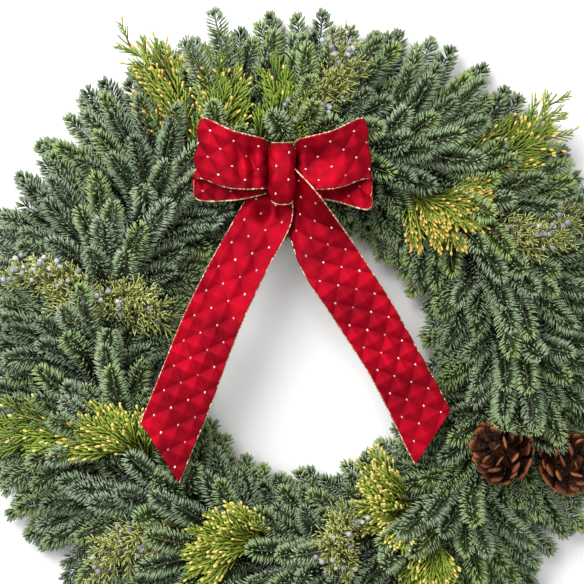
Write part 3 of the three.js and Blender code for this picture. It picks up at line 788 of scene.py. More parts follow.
def bow_strips() -> list[Strip]:
    """Gives the bow's four free stretches of ribbon."""
    left_near = [[-43, 188, TAIL_TOP], [-70, 152, 87], [-100, 100, 97], [-130, 40, 100],
                 [-153, -16, 97], [-176, -73, 99]]
    left_far = [[-22, 182, TAIL_TOP + 4], [-15, 146, 96], [-42, 90, 100], [-72, 26, 103],
                [-104, -58, 99], [-136, -137, 98]]
    right_near = [[-32, 178, 77], [-20, 134, 80], [-8, 90, 98], [22, 44, 103], [62, -18, 100],
                  [113, -118, 97]]
    right_far = [[-15, 193, 116], [8, 170, 127], [50, 110, 110], [87, 54, 102], [118, -2, 97],
                 [150, -60, 98]]
    return [
        loop_strip("bow_loop_left", -1, reach=88, lift=24.5, drop=21, behind=12, sag=6, crease=4,
                   dents=((26, 0.62, 9, 4), (12, 0.3, 7, 3))),
        loop_strip("bow_loop_right", 1, reach=90, lift=24, drop=31, behind=2, sag=5, crease=0,
                   dents=((31, 0.55, 17, 10), (0, 0.0, 12, 19))),
        tail_strip("bow_tail_left", left_near, left_far, 0.0, ((40, 0.42, 9, 8), (30, 0.74, 8, 6))),
        tail_strip("bow_tail_right", right_near, right_far, 6.0, ((62, 0.7, 12, 5),)),
    ]


class Ceiling:
    """How high the foliage may stand at each place in plan, so that it stays under the bow.

    The plan is divided into cells `CELL` wide, `HALF` of them to each side of the middle. The height
    is `OPEN` where there is no bow.
    """

    CELL = 4.0
    HALF = 110
    OPEN = 500.0

    def __init__(self, strips: list[Strip]) -> None:
        size = 2 * self.HALF
        self.heights = np.full((size, size), self.OPEN)
        for strip in strips:
            self._mark(strip.bare(*strip.grid()).reshape(-1, 3))
        share = np.linspace(-0.5, 0.5, 30)
        y, x = np.meshgrid(share * KNOT.height, share * KNOT.width)
        self._mark(np.stack([KNOT.x + x.ravel(), KNOT.y + y.ravel(), np.full(x.size, KNOT.back)], -1))
        wide = np.pad(self.heights, 1, constant_values=self.OPEN)
        shifted = [wide[i:i + size, j:j + size] for i in range(3) for j in range(3)]
        self.heights = np.min(shifted, axis=0)

    def _cells(self, points: Array) -> tuple[Array, Array]:
        """Gives the cells that points lie over."""
        cells = np.floor(points[..., :2] / self.CELL).astype(int) + self.HALF
        cells = np.clip(cells, 0, 2 * self.HALF - 1)
        return cells[..., 0], cells[..., 1]

    def _mark(self, points: Array) -> None:
        """Lowers the cells to points of the bow."""
        np.minimum.at(self.heights, self._cells(points), points[:, 2])

    def over(self, points: Array) -> Array:
        """Gives the height of the bow's underside over points, or a great height where it isn't."""
        return self.heights[self._cells(points)]


# Foliage

@dataclass
class Shoots:
    """A set of curved shoots. Each is a quadratic curve with an upward side and its own looks.

    `tone` is how light a shoot is and `young` how fresh its green.
    """

    start: Array
    control: Array
    end: Array
    up: Array
    tone: Array
    young: Array

    def __len__(self) -> int:
        return len(self.start)

    def pick(self, keep: Array) -> "Shoots":
        """Gives the shoots that a mask or index array names."""
        return Shoots(self.start[keep], self.control[keep], self.end[keep], self.up[keep],
                      self.tone[keep], self.young[keep])

    def at(self, which: Array, t: Array) -> tuple[Array, Array]:
        """Gives the points of the shoots `which` at places t, and the directions there."""
        s = t[..., None]
        a, b, c = self.start[which], self.control[which], self.end[which]
        point = (1 - s) ** 2 * a + 2 * s * (1 - s) * b + s**2 * c
        return point, unit((1 - s) * (b - a) + s * (c - b))

    def lines(self, steps: int) -> Array:
        """Gives evenly placed points along every shoot, as (n, steps, 3)."""
        which = np.repeat(np.arange(len(self))[:, None], steps, axis=1)
        return self.at(which, np.tile(np.linspace(0, 1, steps), (len(self), 1)))[0]

    def lengths(self) -> Array:
        """Gives the shoots' lengths."""
        return np.linalg.norm(np.diff(self.lines(9), axis=1), axis=-1).sum(axis=1)

    def _lower(self, drop: Array) -> None:
        """Lowers the tips and the bends, but not to the floor."""
        self.end[:, 2] = np.maximum(self.end[:, 2] - drop, LOWEST_TIP)
        self.control[:, 2] = np.maximum(self.control[:, 2] - drop, LOWEST_BEND)

    def tuck_under(self, bow: Ceiling, clearance: float) -> "Shoots":
        """Lowers the shoots that come nearer to the bow's underside than the clearance."""
        for _ in range(3):
            lines = self.lines(12)
            self._lower(np.maximum(lines[..., 2] - bow.over(lines) + clearance, 0).max(axis=1))
        return self

    def outside_bow(self, bow: Ceiling, clearance: float) -> "Shoots":
        """Leaves out the shoots that would come nearer to the bow's underside than the clearance."""
        lines = self.lines(4)
        return self.pick((lines[..., 2] < bow.over(lines) - clearance).all(axis=1))

    def hits_cones(self) -> Array:
        """Says which shoots would run into a pine cone."""
        lines = self.lines(10)
        nearest = [np.linalg.norm(lines - centre, axis=-1).min(axis=1) for centre, _ in CONES]
        return np.min(nearest, axis=0) < CONE_CLEARANCE + 3

    def clear_cones(self) -> "Shoots":
        """Lowers the shoots that would run into a pine cone, and leaves out those that still would."""
        step = 8.0
        for _ in range(8):
            self._lower(step * self.hits_cones())
        return self.pick(~self.hits_cones())

    def wood(self, thick: float, thin: float, sides: int = 4, steps: int = 6,
             bark: float = 1.0) -> Patch:
        """Gives the shoots themselves, as round twigs from `thick` to `thin` in radius."""
        radii = np.linspace(thick, thin, steps)
        along = np.linspace(0, 1, steps)[:, None]
        return sweep(self.lines(steps), radii, radii, sides, self.up, tone=self.tone[:, None, None],
                     young=self.young[:, None, None], along=along, bark=bark * (1 - 0.2 * along))


def branch(parents: Shoots, which: Array, t: Array, azimuth: Array, angle: float, length: Array,
           rng: Random) -> Shoots:
    """Grows side shoots that leave their parents at an angle and bend forward.

    Args:
        parents: the shoots that carry them.
        which: for each side shoot, the number of its parent.
        t: its place on the parent.
        azimuth: its turn round the parent, 0 to one side, a quarter turn upward.
        angle: how far it leans away from the parent, in radians.
        length: its length.
        rng: draws its small irregularities.

    Returns:
        The side shoots.
    """
    root, tangent = parents.at(which, t)
    side, rise = frames(tangent, parents.up[which])
    azimuth = azimuth + rng.normal(0, 0.12, len(which))
    lean = angle * (1 + rng.normal(0, 0.12, len(which)))
    out = np.cos(azimuth)[:, None] * side + np.sin(azimuth)[:, None] * rise
    away = np.cos(lean)[:, None] * tangent + np.sin(lean)[:, None] * out
    length = np.asarray(length)[:, None]
    control = root + away * length * 0.5
    end = control + unit(away + 0.35 * tangent) * length * 0.5
    tone = parents.tone[which] + rng.normal(0, 0.08, len(which))
    return Shoots(root, control, end, parents.up[which], tone, parents.young[which])


@dataclass(frozen=True)
class Order:
    """An order of side shoots, evenly placed on each parent and shorter towards its tip.

    Each parent carries `count` of them. `places` is the share of the parent at the first and at the
    last, and `lengths` are their lengths. `turn` is the turn round the parent from one to the next,
    half a turn for a flat frond, and `angle` how far they lean away from it, in radians.
    """

    count: int
    places: tuple[float, float]
    lengths: tuple[float, float]
    turn: float
    angle: float

    FULL_PARENT = 40.0

    def grow(self, parents: Shoots, rng: Random) -> Shoots:
        """Grows the side shoots. Those of a short parent are shorter too."""
        which = np.repeat(np.arange(len(parents)), self.count)
        order = np.tile(np.arange(self.count), len(parents))
        share = (order + 0.5) / self.count
        length = self.lengths[0] + (self.lengths[1] - self.lengths[0]) * share
        length = length * np.clip(parents.lengths()[which] / self.FULL_PARENT, 0.5, 1)
        length = length * (1 + rng.normal(0, 0.13, len(which)))
        place = self.places[0] + (self.places[1] - self.places[0]) * share
        return branch(parents, which, place, order * self.turn, self.angle, length, rng)


@dataclass(frozen=True)
class Bunch:
    """One bunch: its plant, the clamp and row that hold its stem, and its tips.

    A tip is a radius, an angle in degrees and a height.
    """

    node: str
    kind: Kind
    clamp: int
    row: Row
    tips: tuple
    seed: int

    LAST_LEAD = 8.5
    BEND_SHARE = 0.45

    @property
    def degrees(self) -> float:
        """The angle of its clamp."""
        return self.clamp * CLAMP_STEP

    @property
    def stem_height(self) -> float:
        """The height of its stem's axis: the sprays lie on the stems of the fir."""
        return FIR_STEM_HEIGHT if self.kind is Kind.FIR else SPRAY_STEM_HEIGHT

    def make(self, name: str, patches: list[Patch], finishes: list[Finish]) -> None:
        """Makes the piece that replaces the bunch's node."""
        patches = [patch.keep_off_floor() for patch in patches]
        make_piece(f"{self.node}_{name}", patches, finishes, self.node)

    def shoots(self, rng: Random) -> Shoots:
        """Gives its main shoots, which leave the stem along the ring and turn to their tips.

        The first starts `first` degrees ahead of the clamp and each next one `pitch` degrees farther
        on, but none beyond LAST_LEAD. The curve's middle control point lies along the ring, at the
        share BEND_SHARE of the way, and at the share `arch` of the rise.
        """
        first, pitch, arch = (3.5, 1.4, 0.72) if self.kind is Kind.FIR else (1.6, 1.2, 0.9)
        leads = np.minimum(first + pitch * np.arange(len(self.tips)), self.LAST_LEAD)
        places = [self.degrees - lead for lead in leads]
        start = np.array([polar(self.row.value, place, self.stem_height) for place in places])
        end = np.array([polar(*tip) for tip in self.tips])
        along = np.array([clockwise(place) for place in places])
        control = start + along * self.BEND_SHARE * np.linalg.norm(end - start, axis=1)[:, None]
        control[:, 2] = start[:, 2] + arch * (end[:, 2] - start[:, 2])
        roll = rng.normal(0, 0.25, (len(start), 2))
        up = unit(np.column_stack([roll, np.ones(len(start))]))
        tone = 0.45 + rng.normal(0, 0.22, len(start))
        return Shoots(start, control, end, up, tone, np.zeros(len(start)))

    def stem(self) -> Patch:
        """Gives the woody stem that its clamp holds."""
        ahead = 9 if self.kind is Kind.FIR else 5
        line = [polar(self.row.value, self.degrees + lead, self.stem_height) for lead in (6, 0, -ahead)]
        path = spline(line, np.linspace(0, 1, 9))[None]
        return sweep(path, STEM_RADIUS, STEM_RADIUS, 10, bark=1.0, tone=0.3)


@dataclass(frozen=True)
class FirNeedles:
    """Sizes of the noble fir's needles, which stand in whorls of five.

    `rows` gives each needle's turn round the shoot in degrees and `jitter` how far it strays, in
    radians. `lean` is the angle at which needles leave the shoot, and `STRAIGHTENED` the share of it
    that they end at. They are widest at the share `BEND_AT`. The shoot's whorls fan out beyond its
    share `FAN_START`.
    """

    length: float = 18.5
    width: float = 1.85
    thickness: float = 1.1
    pitch: float = 3.1
    lean: float = 1.2
    rows: tuple[float, ...] = (-8.0, 188.0, 34.0, 146.0, 90.0)
    jitter: tuple[float, ...] = (0.1, 0.1, 0.12, 0.12, 0.5)

    UNEVEN = 0.06
    FAN_START = 0.88
    STRAIGHTENED = 0.65
    BEND_AT = 0.66
    POINTS = 5

    def grow(self, shoots: Shoots, first: Array, bow: Ceiling, rng: Random) -> Patch:
        """Grows needles all along shoots.

        They stand in combed rows, those of the underside turned up to the sides, and curve forward
        and up. The last whorls fan out round the tip, which makes it blunt.

        Args:
            shoots: the shoots that carry them.
            first: the share of each shoot that stays bare at its root.
            bow: the ribbon that they stay under.
            rng: draws their irregularities.

        Returns:
            The needles.
        """
        whorls = np.maximum(shoots.lengths() * (1 - first) / self.pitch, 3).astype(int)
        counts = whorls * len(self.rows)
        which = np.repeat(np.arange(len(shoots)), counts)
        order = np.arange(len(which)) - np.repeat(np.cumsum(counts) - counts, counts)
        place = order // len(self.rows) + 0.5 + rng.normal(0, 0.1, len(which))
        share = np.clip(1.06 * place / whorls[which], 0, 1)
        share = share * (1.35 - 0.35 * share)
        root, tangent = shoots.at(which, first[which] + (1 - first[which]) * share)
        leave, arrive = self._directions(order % len(self.rows), share, tangent, shoots.up[which], rng)
        length = self.length * (1 - 0.35 * share**8) * (1 + rng.normal(0, self.UNEVEN, len(which)))
        free = self._free(root, root + (leave + arrive) * length[:, None] / 2, bow)
        tone = shoots.tone[which] + rng.normal(0, 0.08, len(which))
        # Painted shade: needles are darker towards their shoot's root and lower down in the wreath,
        # where the sprigs above shade them
        tone = tone + 0.3 * share + 0.006 * root[:, 2] - 0.55
        young = shoots.young[which] * np.clip(1.6 * share - 0.6, 0.7 * shoots.young[which], 1)
        width = self.width * (1 + 0.5 * np.clip((50 - root[free, 2:]) / 30, 0, 1))
        points, triangles = self._spikes(root[free], leave[free], arrive[free], length[free], width)
        bend = self.BEND_AT
        return Patch(points, triangles, {"tone": np.repeat(tone[free], self.POINTS),
                                         "young": np.repeat(young[free], self.POINTS),
                                         "along": np.tile([0, bend, bend, bend, 1], free.sum())})

    def _directions(self, row: Array, share: Array, tangent: Array, up: Array,
                    rng: Random) -> tuple[Array, Array]:
        """Gives the directions in which needles leave a shoot, and those in which they end."""
        side, rise = frames(tangent, up)
        stray = np.take(self.jitter, row) * rng.normal(0, 1, len(row))
        azimuth = (np.radians(np.take(self.rows, row)) + stray)[:, None]
        out = unit(np.cos(azimuth) * side + (0.1 + 0.75 * np.sin(azimuth)) * rise)
        fan = np.clip((share - self.FAN_START) / (1 - self.FAN_START), 0, 1)
        fan = fan * rng.uniform(0, 1, len(row))
        lean = (self.lean * (1 - 0.9 * fan) + rng.normal(0, self.UNEVEN, len(row)))[:, None]
        less = self.STRAIGHTENED * lean
        leave = np.cos(lean) * tangent + np.sin(lean) * out
        return leave, unit(np.cos(less) * tangent + np.sin(less) * out + 0.2 * rise)

    @staticmethod
    def _free(root: Array, tip: Array, bow: Ceiling) -> Array:
        """Says which needles touch neither the bow nor a cone."""
        free = np.ones(len(root), dtype=bool)
        for end in (root, tip):
            free &= end[:, 2] < bow.over(end) - 1.5
            for centre, _ in CONES:
                free &= np.linalg.norm(end - centre, axis=1) > CONE_CLEARANCE - 3
        return free

    def _spikes(self, root: Array, leave: Array, arrive: Array, length: Array,
                width: Array) -> tuple[Array, Array]:
        """Makes closed needles of three sides, slim at the root and blunt at the tip.

        A needle's middle line starts towards `leave` and ends towards `arrive`.
        """
        s = np.array([0.0, self.BEND_AT, 1.0])[:, None, None]
        line = root + length[:, None] * (leave * (s - s**2 / 2) + arrive * s**2 / 2)
        over, top = frames(unit(leave + 2 * arrive), np.broadcast_to(UP, root.shape))
        corner = [line[1] + a * over * width / 2 + b * top * self.thickness
                  for a, b in ((-1.0, -0.4), (0.0, 0.6), (1.0, -0.4))]
        points = np.stack([line[0], *corner, line[2]], axis=1)
        faces = [(0, 2, 1), (0, 3, 2), (0, 1, 3), (1, 2, 4), (2, 3, 4), (3, 1, 4)]
        return points.reshape(-1, 3), copies(np.array(faces), self.POINTS, len(root))


class FirBunch:
    """A bunch of noble fir: sprigs of one shoot, the lowest of them with a side shoot.

    `NEEDLED` is the length of a shoot's needled part, and `FORKED` how many sprigs have a side
    shoot. The share `FRESH_SHARE` of the sprigs is as young as `FRESH` says, the others as `OLD`.
    """

    NEEDLED = 88.0
    FORKED = {Row.OUTER: 12, Row.INNER: 5}
    SIDE_LENGTH = 44.0
    SIDE_ANGLE = 0.6
    SIDE_TURN = 0.15
    SIDE_BARE = 0.06
    FRESH_SHARE = 0.45
    FRESH = (0.3, 0.9)
    OLD = 0.1
    WOOD = (1.7, 0.8)
    SIDE_WOOD = (1.2, 0.7)

    def __init__(self, bunch: Bunch, bow: Ceiling) -> None:
        rng = np.random.default_rng(bunch.seed)
        needles = FirNeedles()
        main = bunch.shoots(rng).tuck_under(bow, 10).clear_cones()
        fresh = rng.random(len(main)) < self.FRESH_SHARE
        fresh = np.where(fresh, rng.uniform(*self.FRESH, len(main)), self.OLD)
        main.young[:] = fresh + np.clip(main.end[:, 0] / 2500, -0.05, 0.15)
        bare = np.clip(1 - self.NEEDLED / main.lengths(), 0.15, 0.6)
        which = np.arange(min(self.FORKED[bunch.row], len(main)))
        place = bare[which] + (0.92 - bare[which]) * rng.uniform(0.15, 0.35, len(which))
        azimuth = np.where(which % 2, self.SIDE_TURN, math.pi - self.SIDE_TURN)
        length = self.SIDE_LENGTH + rng.normal(0, 6, len(which))
        side = branch(main, which, place, azimuth, self.SIDE_ANGLE, length, rng)
        side = side.tuck_under(bow, 8).clear_cones()
        patches = [bunch.stem(), main.wood(*self.WOOD), side.wood(*self.SIDE_WOOD),
                   needles.grow(main, bare, bow, rng),
                   needles.grow(side, np.full(len(side), self.SIDE_BARE), bow, rng)]
        bunch.make("sprigs", patches, [FIR_NEEDLES])


class Spray:
    """A spray: fronds on the bunch's stem, side shoots on them and on these, and its fruit.

    Each kind says how it grows, and its `fruit` gives what it bears. `WOODS` has for the fronds and
    for each order of side shoots what Shoots.wood takes. `RAISED` is how far the fronds' tips stand
    above the bunch's, and `YOUNG` how young a spray is that bears pollen on all its branchlets.
    """

    PIECE: str
    FINISHES: list[Finish]
    ORDERS: tuple[Order, ...]
    WOODS: tuple[tuple, ...]
    CLEARANCE = 5.0
    SIDE_CLEARANCE = 2.0
    RAISED = 0.0
    YOUNG = 0.0

    def __init__(self, bunch: Bunch, look: tuple, bow: Ceiling) -> None:
        rng = np.random.default_rng(bunch.seed)
        fronds = bunch.shoots(rng)
        fronds.end[:, 2] += self.RAISED
        fronds.young[:] = self.YOUNG * look[0]
        sets = [fronds.tuck_under(bow, self.CLEARANCE)]
        for order in self.ORDERS:
            sets.append(order.grow(sets[-1], rng).outside_bow(bow, self.SIDE_CLEARANCE))
        woods = [shoots.wood(*wood) for shoots, wood in zip(sets, self.WOODS)]
        bunch.make(self.PIECE, [bunch.stem(), *woods, self.fruit(sets, look, bow, rng)], self.FINISHES)


class CedarSpray(Spray):
    """A spray of incense cedar: flat fronds whose branchlets end in pollen cones."""

    PIECE = "fronds"
    FINISHES = [CEDAR_LEAVES, POLLEN_CONES]
    ORDERS = (Order(13, (0.34, 0.97), (58, 24), math.pi, 0.48),
              Order(6, (0.25, 0.93), (21, 11), math.pi, 0.42))
    WOODS = ((1.6, 1.0, 5, 9, 0.6), (1.15, 0.9, 4, 5, 0.1), (1.0, 0.8, 3, 3, 0.0))
    YOUNG = 0.3

    def fruit(self, sets: list[Shoots], look: tuple, bow: Ceiling, rng: Random) -> Patch:
        """Gives small pollen cones at a share of the branchlet ends, greenish to golden.

        The branchlets farthest from the spray's root bear few. A cone is darker towards its base.
        """
        share, golden = look
        tips = sets[-1]
        distance = np.linalg.norm(tips.end - sets[0].start[0], axis=1)
        bearing = np.clip(3.2 - 3 * distance / distance.max(), 0.1, 1)
        tips = tips.pick(rng.random(len(tips)) < share * bearing)
        end, heading = tips.at(np.arange(len(tips)), np.ones(len(tips)))
        side, rise = frames(heading, tips.up)
        half = (3.1 + rng.normal(0, 0.35, len(tips)))[:, None]
        axes = np.stack([rise * 1.5, side * 1.6, heading * half], axis=1)
        rows, sides = 2, 5
        basal = np.concatenate([np.full(sides, 0.25), np.full(sides, -0.15), [0.5, -0.3]])
        tone = 0.75 * golden + rng.normal(0, 0.1, (len(tips), 1)) + basal
        return ellipsoids(end + heading * 2.2, axes, rows, sides, tone, 1)


class JuniperSpray(Spray):
    """A spray of juniper: bushy cord-like twigs with bloomed berries."""

    PIECE = "twigs"
    FINISHES = [JUNIPER_LEAVES, BERRIES]
    ORDERS = (Order(17, (0.36, 0.98), (38, 20), GOLDEN_ANGLE, 0.75),
              Order(7, (0.12, 0.95), (19, 11), GOLDEN_ANGLE, 0.7))
    WOODS = ((1.5, 0.8, 5, 9, 1.0), (0.85, 0.65, 3, 5, 0.5), (0.75, 0.55, 3, 3, 0.0))
    CLEARANCE = 7.0
    RAISED = 14.0
    BERRY_RADIUS = 3.0
    BERRIES_IN_GROUP = 3

    def fruit(self, sets: list[Shoots], look: tuple, bow: Ceiling, rng: Random) -> Patch:
        """Gives berries in loose groups on the upper side of the first side shoots."""
        twigs = sets[1]
        which = np.repeat(rng.integers(0, len(twigs), look[0]), self.BERRIES_IN_GROUP)
        centre, tangent = twigs.at(which, rng.uniform(0.3, 1.0, len(which)))
        side, rise = frames(tangent, twigs.up[which])
        centre = centre + side * rng.normal(0, 5, len(which))[:, None]
        centre = centre + rise * rng.uniform(3, 8, len(which))[:, None]
        centre = centre[centre[:, 2] < bow.over(centre) - 5]
        radius = self.BERRY_RADIUS * (1 + rng.normal(0, 0.1, len(centre)))
        tone = rng.uniform(0.1, 0.9, (len(centre), 1))
        return ellipsoids(centre, np.eye(3) * radius[:, None, None], 5, 8, tone, 1)


# Cones

@dataclass(frozen=True)
class PineCone:
    """Sizes of an open ponderosa pine cone."""

    length: float = 72.0
    radius: float = 35.0
    core: float = 14.0
    stalk: float = 38.0
    scales: int = 54
    seed: int = 5

    # A scale's sections: the share of its reach, the share of its half width and the half thickness
    SHARES = np.array([0.0, 0.3, 0.6, 0.84, 0.95, 1.0, 1.03])
    WIDTHS = np.array([0.22, 0.34, 0.66, 1.0, 0.94, 0.62, 0.14])
    THICKNESSES = np.array([0.5, 0.5, 0.5, 0.8, 1.6, 1.4, 0.4])
    SIDES = 10

    def _scales(self) -> Patch:
        """Gives the scales, on a spiral round the cone's axis.

        Each scale runs out from the core and bends up. It is thin and narrow at its root, and ends
        in a thick rounded lip with a small point. The lip is coloured lighter, by a random amount on
        each scale and most at its side edges, partly its own colour and partly painted light; the scale
        darkens inward as painted shade.
        """
        k = np.arange(self.scales)
        t = (k + 0.5) / self.scales
        rng = np.random.default_rng(self.seed)
        height = self.length * (0.84 * t - 0.44)
        swell = np.sin(np.pi * (0.18 + 0.72 * t)) ** 0.75 * (1 + rng.normal(0, 0.05, self.scales))
        climb = 8 + 7 * t + rng.normal(0, 3, self.scales)
        s = self.SHARES
        turn = k * GOLDEN_ANGLE + rng.normal(0, 0.1, self.scales)
        out = np.stack([np.cos(turn), np.sin(turn), 0 * turn], -1)
        root = 0.35 * self.core
        distance = root + (self.radius * swell - root)[:, None] * s
        rise = height[:, None] + climb[:, None] * s**2 - 2 * np.sin(np.pi * s)
        path = out[:, None] * distance[..., None] + UP * rise[..., None]
        breadth = (3.2 + 4.3 * swell) * (1 + rng.normal(0, 0.15, self.scales))
        stout = rng.uniform(0.7, 1.6, self.scales)
        leant = UP + np.cross(UP, out) * rng.normal(0, 0.12, self.scales)[:, None]
        # Painted light and shade: lips lighter, by a random amount per scale and most at the section's
        # sides; inner parts darker
        random_amount = rng.uniform(0.25, 1.1, self.scales)[:, None]
        lip = random_amount * np.clip((s - 0.85) / 0.15, 0, 1) + 0.4 * np.minimum(s - 0.9, 0)
        rim = np.abs(np.cos(2 * np.pi * np.arange(self.SIDES) / self.SIDES))
        return sweep(path, breadth[:, None] * self.WIDTHS, stout[:, None] * self.THICKNESSES,
                     self.SIDES, leant, tone=lip[..., None] * (0.35 + 0.65 * rim))

    def _core(self) -> Patch:
        """Gives the core and the stalk."""
        height = np.array([-self.stalk, -30, -26, -14, 0, 18, 30])
        radii = np.array([2.5, 2.5, 8, self.core, self.core, 8, 2])
        path = np.stack([0 * height, 0 * height, height], -1)[None]
        return sweep(path, radii, radii, 12, RIGHT)

    def place(self, node: str, centre: Array, axis: Array) -> None:
        """Makes the cone at its place on the wreath."""
        along = unit(axis)
        side = unit(np.cross(UP, along))
        turned = np.stack([side, np.cross(along, side), along])
        patches = [self._core(), self._scales()]
        for patch in patches:
            patch.points = patch.points @ turned + centre
        make_piece(f"{node}_scales", patches, [CONE_SCALES], node)


# Wire

def rounded(route: list, radius: float, steps: int = 4) -> Array:
    """Rounds the corners of a route, each by a quadratic curve that starts `radius` before it."""
    route = np.asarray(route, dtype=float)
    points = [route[:1]]
    s = np.linspace(0, 1, steps + 1)[:, None]
    for before, corner, after in zip(route, route[1:], route[2:]):
        enter = corner + unit(before - corner) * radius
        leave = corner + unit(after - corner) * radius
        points.append((1 - s) ** 2 * enter + 2 * s * (1 - s) * corner + s**2 * leave)
    return np.concatenate([*points, route[-1:]])


def wire_patch(path: Array, radius: float, up: Array) -> Patch:
    """Gives a round wire along a path."""
    return sweep(path[None], radius, radius, 8, up, tone=0.3)


def rail_patch(radius: float, steps: int = 120, sides: int = 10) -> Patch:
    """Gives a rail, a round wire bent to a ring that lies on the surface."""
    ring, section = np.meshgrid(np.arange(steps), np.arange(sides), indexing="ij")
    turn = 2 * np.pi * ring / steps
    angle = 2 * np.pi * section / sides - np.pi / 2
    reach = radius + RAIL_WIRE / 2 * np.cos(angle)
    height = RAIL_WIRE / 2 * (1 + np.sin(angle))
    points = np.stack([reach * np.cos(turn), reach * np.sin(turn), height], -1).reshape(-1, 3)
    numbers = np.pad(rings(steps, sides), ((0, 1), (0, 0)), "wrap")
    return Patch(points, skin(numbers), {"tone": 0.3})


def add_ring() -> None:
    """Adds the ring that carries all the foliage: two rails, and clamps bent over the stems."""
    low = CLAMP_TOP - CLAMP_WIRE / 2
    inside, outside = INNER_RAIL - 1, OUTER_RAIL + 1
    shoulder = PRONG_HEIGHT - PRONG_SLOPE
    route = [(INNER_RAIL + PRONG_REACH, PRONG_HEIGHT), (inside, shoulder), (inside, low),
             (outside, low), (outside, shoulder), (OUTER_RAIL - PRONG_REACH, PRONG_HEIGHT)]
    patches = [rail_patch(INNER_RAIL), rail_patch(OUTER_RAIL)]
    for clamp in range(CLAMPS):
        degrees = clamp * CLAMP_STEP
        path = rounded([polar(radius, degrees, height) for radius, height in route], 4)
        patches.append(wire_patch(path, CLAMP_WIRE / 2, clockwise(degrees)))
    make_piece("clamp_ring_wires", patches, [GREEN_WIRE], "clamp_ring")


def add_tie_wire(node: str, route: list, up: Array) -> None:
    """Adds a floral wire along a route."""
    path = spline(route, np.linspace(0, 1, 24))
    make_piece(f"{node}_bent", [wire_patch(path, WIRE_RADIUS, up)], [GREEN_WIRE], node)


def add_tie_wires() -> None:
    """Adds the wires that hold the bow and the cones to the ring's rails."""
    foot = math.sqrt((INNER_RAIL - 0.5) ** 2 - KNOT.x**2)
    route = [[KNOT.x, KNOT.y + 6, KNOT.back], [KNOT.x, KNOT.y + 6, 50], [KNOT.x, KNOT.y, 18],
             [KNOT.x, foot, RAIL_WIRE + GAP]]
    add_tie_wire("bow_tie_wire", route, RIGHT)
    end = PineCone().stalk + GAP
    for k, ((centre, axis), degrees) in enumerate(zip(CONES, CONE_WIRE_DEGREES)):
        route = [centre - unit(axis) * end, centre - unit(axis) * (end + 6),
                 polar(OUTER_RAIL, degrees, 12), polar(OUTER_RAIL - 0.5, degrees, RAIL_WIRE + GAP)]
        add_tie_wire(f"cone_wire_{k + 1}", route, clockwise(degrees))


# The bow

class Bow:
    """The bow: four free stretches of ribbon and the knot that gathers them."""

    KNOT_HALF_CELLS = 8
    KNOT_TURN = KNOT_HALF_CELLS * HALF_CELL / (2 * math.pi)
    KNOT_SHIFT = 0.45
    KNOT_PUFF = 1.6
    KNOT_MIDDLE = np.array([KNOT.x, KNOT.y, (KNOT.front + KNOT.back) / 2])

    def __init__(self, strips: list[Strip]) -> None:
        for strip in strips:
            self._stretch(strip)
        self._knot_band()
        self._knot_edges()
        self._knot_pearls()

    @staticmethod
    def _stretch(strip: Strip) -> None:
        """Makes one stretch of ribbon with its gold edges and pearls."""
        cloth = make_piece(f"{strip.name}_cloth", [strip.cloth()], [RED_SATIN], strip.name)
        cords = make_piece(f"{strip.name}_edges", strip.edge_cords(), [GOLD_EDGE])
        pearls = make_piece(f"{strip.name}_pearls", [strip.pearls()], [PEARLS])

    def knot_surface(self, v: Array, turn: Array) -> Array:
        """Gives points of the knot at share v of its height and at an angle round it.

        Its section is a rounded box that swells towards the middle of its height. Its edges hang
        down a little at the front.
        """
        bulge = np.sin(np.pi * np.clip(v, 0, 1)) ** 0.7
        depth = 6 + bulge * ((KNOT.front - KNOT.back) / 2 - 6)
        width = (KNOT.width / 2 - GAP) * (0.68 + 0.32 * bulge)
        x = width * np.sign(np.cos(turn)) * np.abs(np.cos(turn)) ** 0.75
        z = depth * np.sign(np.sin(turn)) * np.abs(np.sin(turn)) ** 0.75
        x = x + 1.2 * np.sin(3 * np.pi * v + turn)
        y = (v - 0.5) * KNOT.height - 4 * np.clip(np.sin(turn), 0, 1) * (1.2 - v)
        return np.stack([x, y + 1, z], -1) + self.KNOT_MIDDLE

    def _away_from_knot(self, points: Array) -> Array:
        """Gives the directions from the knot's upright middle line to points of its skin."""
        return unit((points - self.KNOT_MIDDLE) * np.array([1.0, 0.0, 1.0]))

    def _knot_band(self) -> None:
        """Makes the quilted band of the knot."""
        rows, sides = 49, 72
        v, turn = np.linspace(0, 1, rows), 2 * np.pi * np.arange(sides) / sides
        v, turn = np.meshgrid(v, turn, indexing="ij")
        points = self.knot_surface(v, turn)
        run = turn * self.KNOT_TURN - self.KNOT_SHIFT * HALF_CELL
        puff = quilting(v * RIBBON_WIDTH, run)
        points = points + self._away_from_knot(points) * ((puff - 1) * self.KNOT_PUFF)[..., None]
        values = {"puff": puff.ravel(), "across": (v * RIBBON_WIDTH).ravel(), "run": run.ravel()}
        patch = Patch(points.reshape(-1, 3), tube(rows, sides), values)
        make_piece("bow_knot_band", [patch], [RED_SATIN], "bow_knot")

    def _knot_edges(self) -> None:
        """Makes the gold edges of the knot's band over its front."""
        turn = np.linspace(0.02 * math.pi, 0.98 * math.pi, 70)
        paths = [self.knot_surface(np.full_like(turn, v), turn) for v in (0.0, 1.0)]
        patches = [twisted_cord(path, UPRIGHT) for path in paths]
        make_piece("bow_knot_edges", patches, [GOLD_EDGE])

    def _knot_pearls(self) -> None:
        """Makes the pearls on the knot's front."""
        p, q = np.meshgrid(np.arange(PEARL_COLUMNS), (1, 2))
        even = (p + q) % 2 == 0
        v = (p[even] + FIRST_PEARL) * HALF_CELL / RIBBON_WIDTH
        centre = self.knot_surface(v, (q[even] + self.KNOT_SHIFT) * HALF_CELL / self.KNOT_TURN)
        normal = self._away_from_knot(centre)
        along = np.broadcast_to(UPRIGHT, normal.shape)
        patch = oval_pearls(centre - 0.8 * normal, normal, along, (1.1, 1.4), 0.6, rows=5, sides=8)
        make_piece("bow_knot_pearls", [patch], [PEARLS])


# The wreath

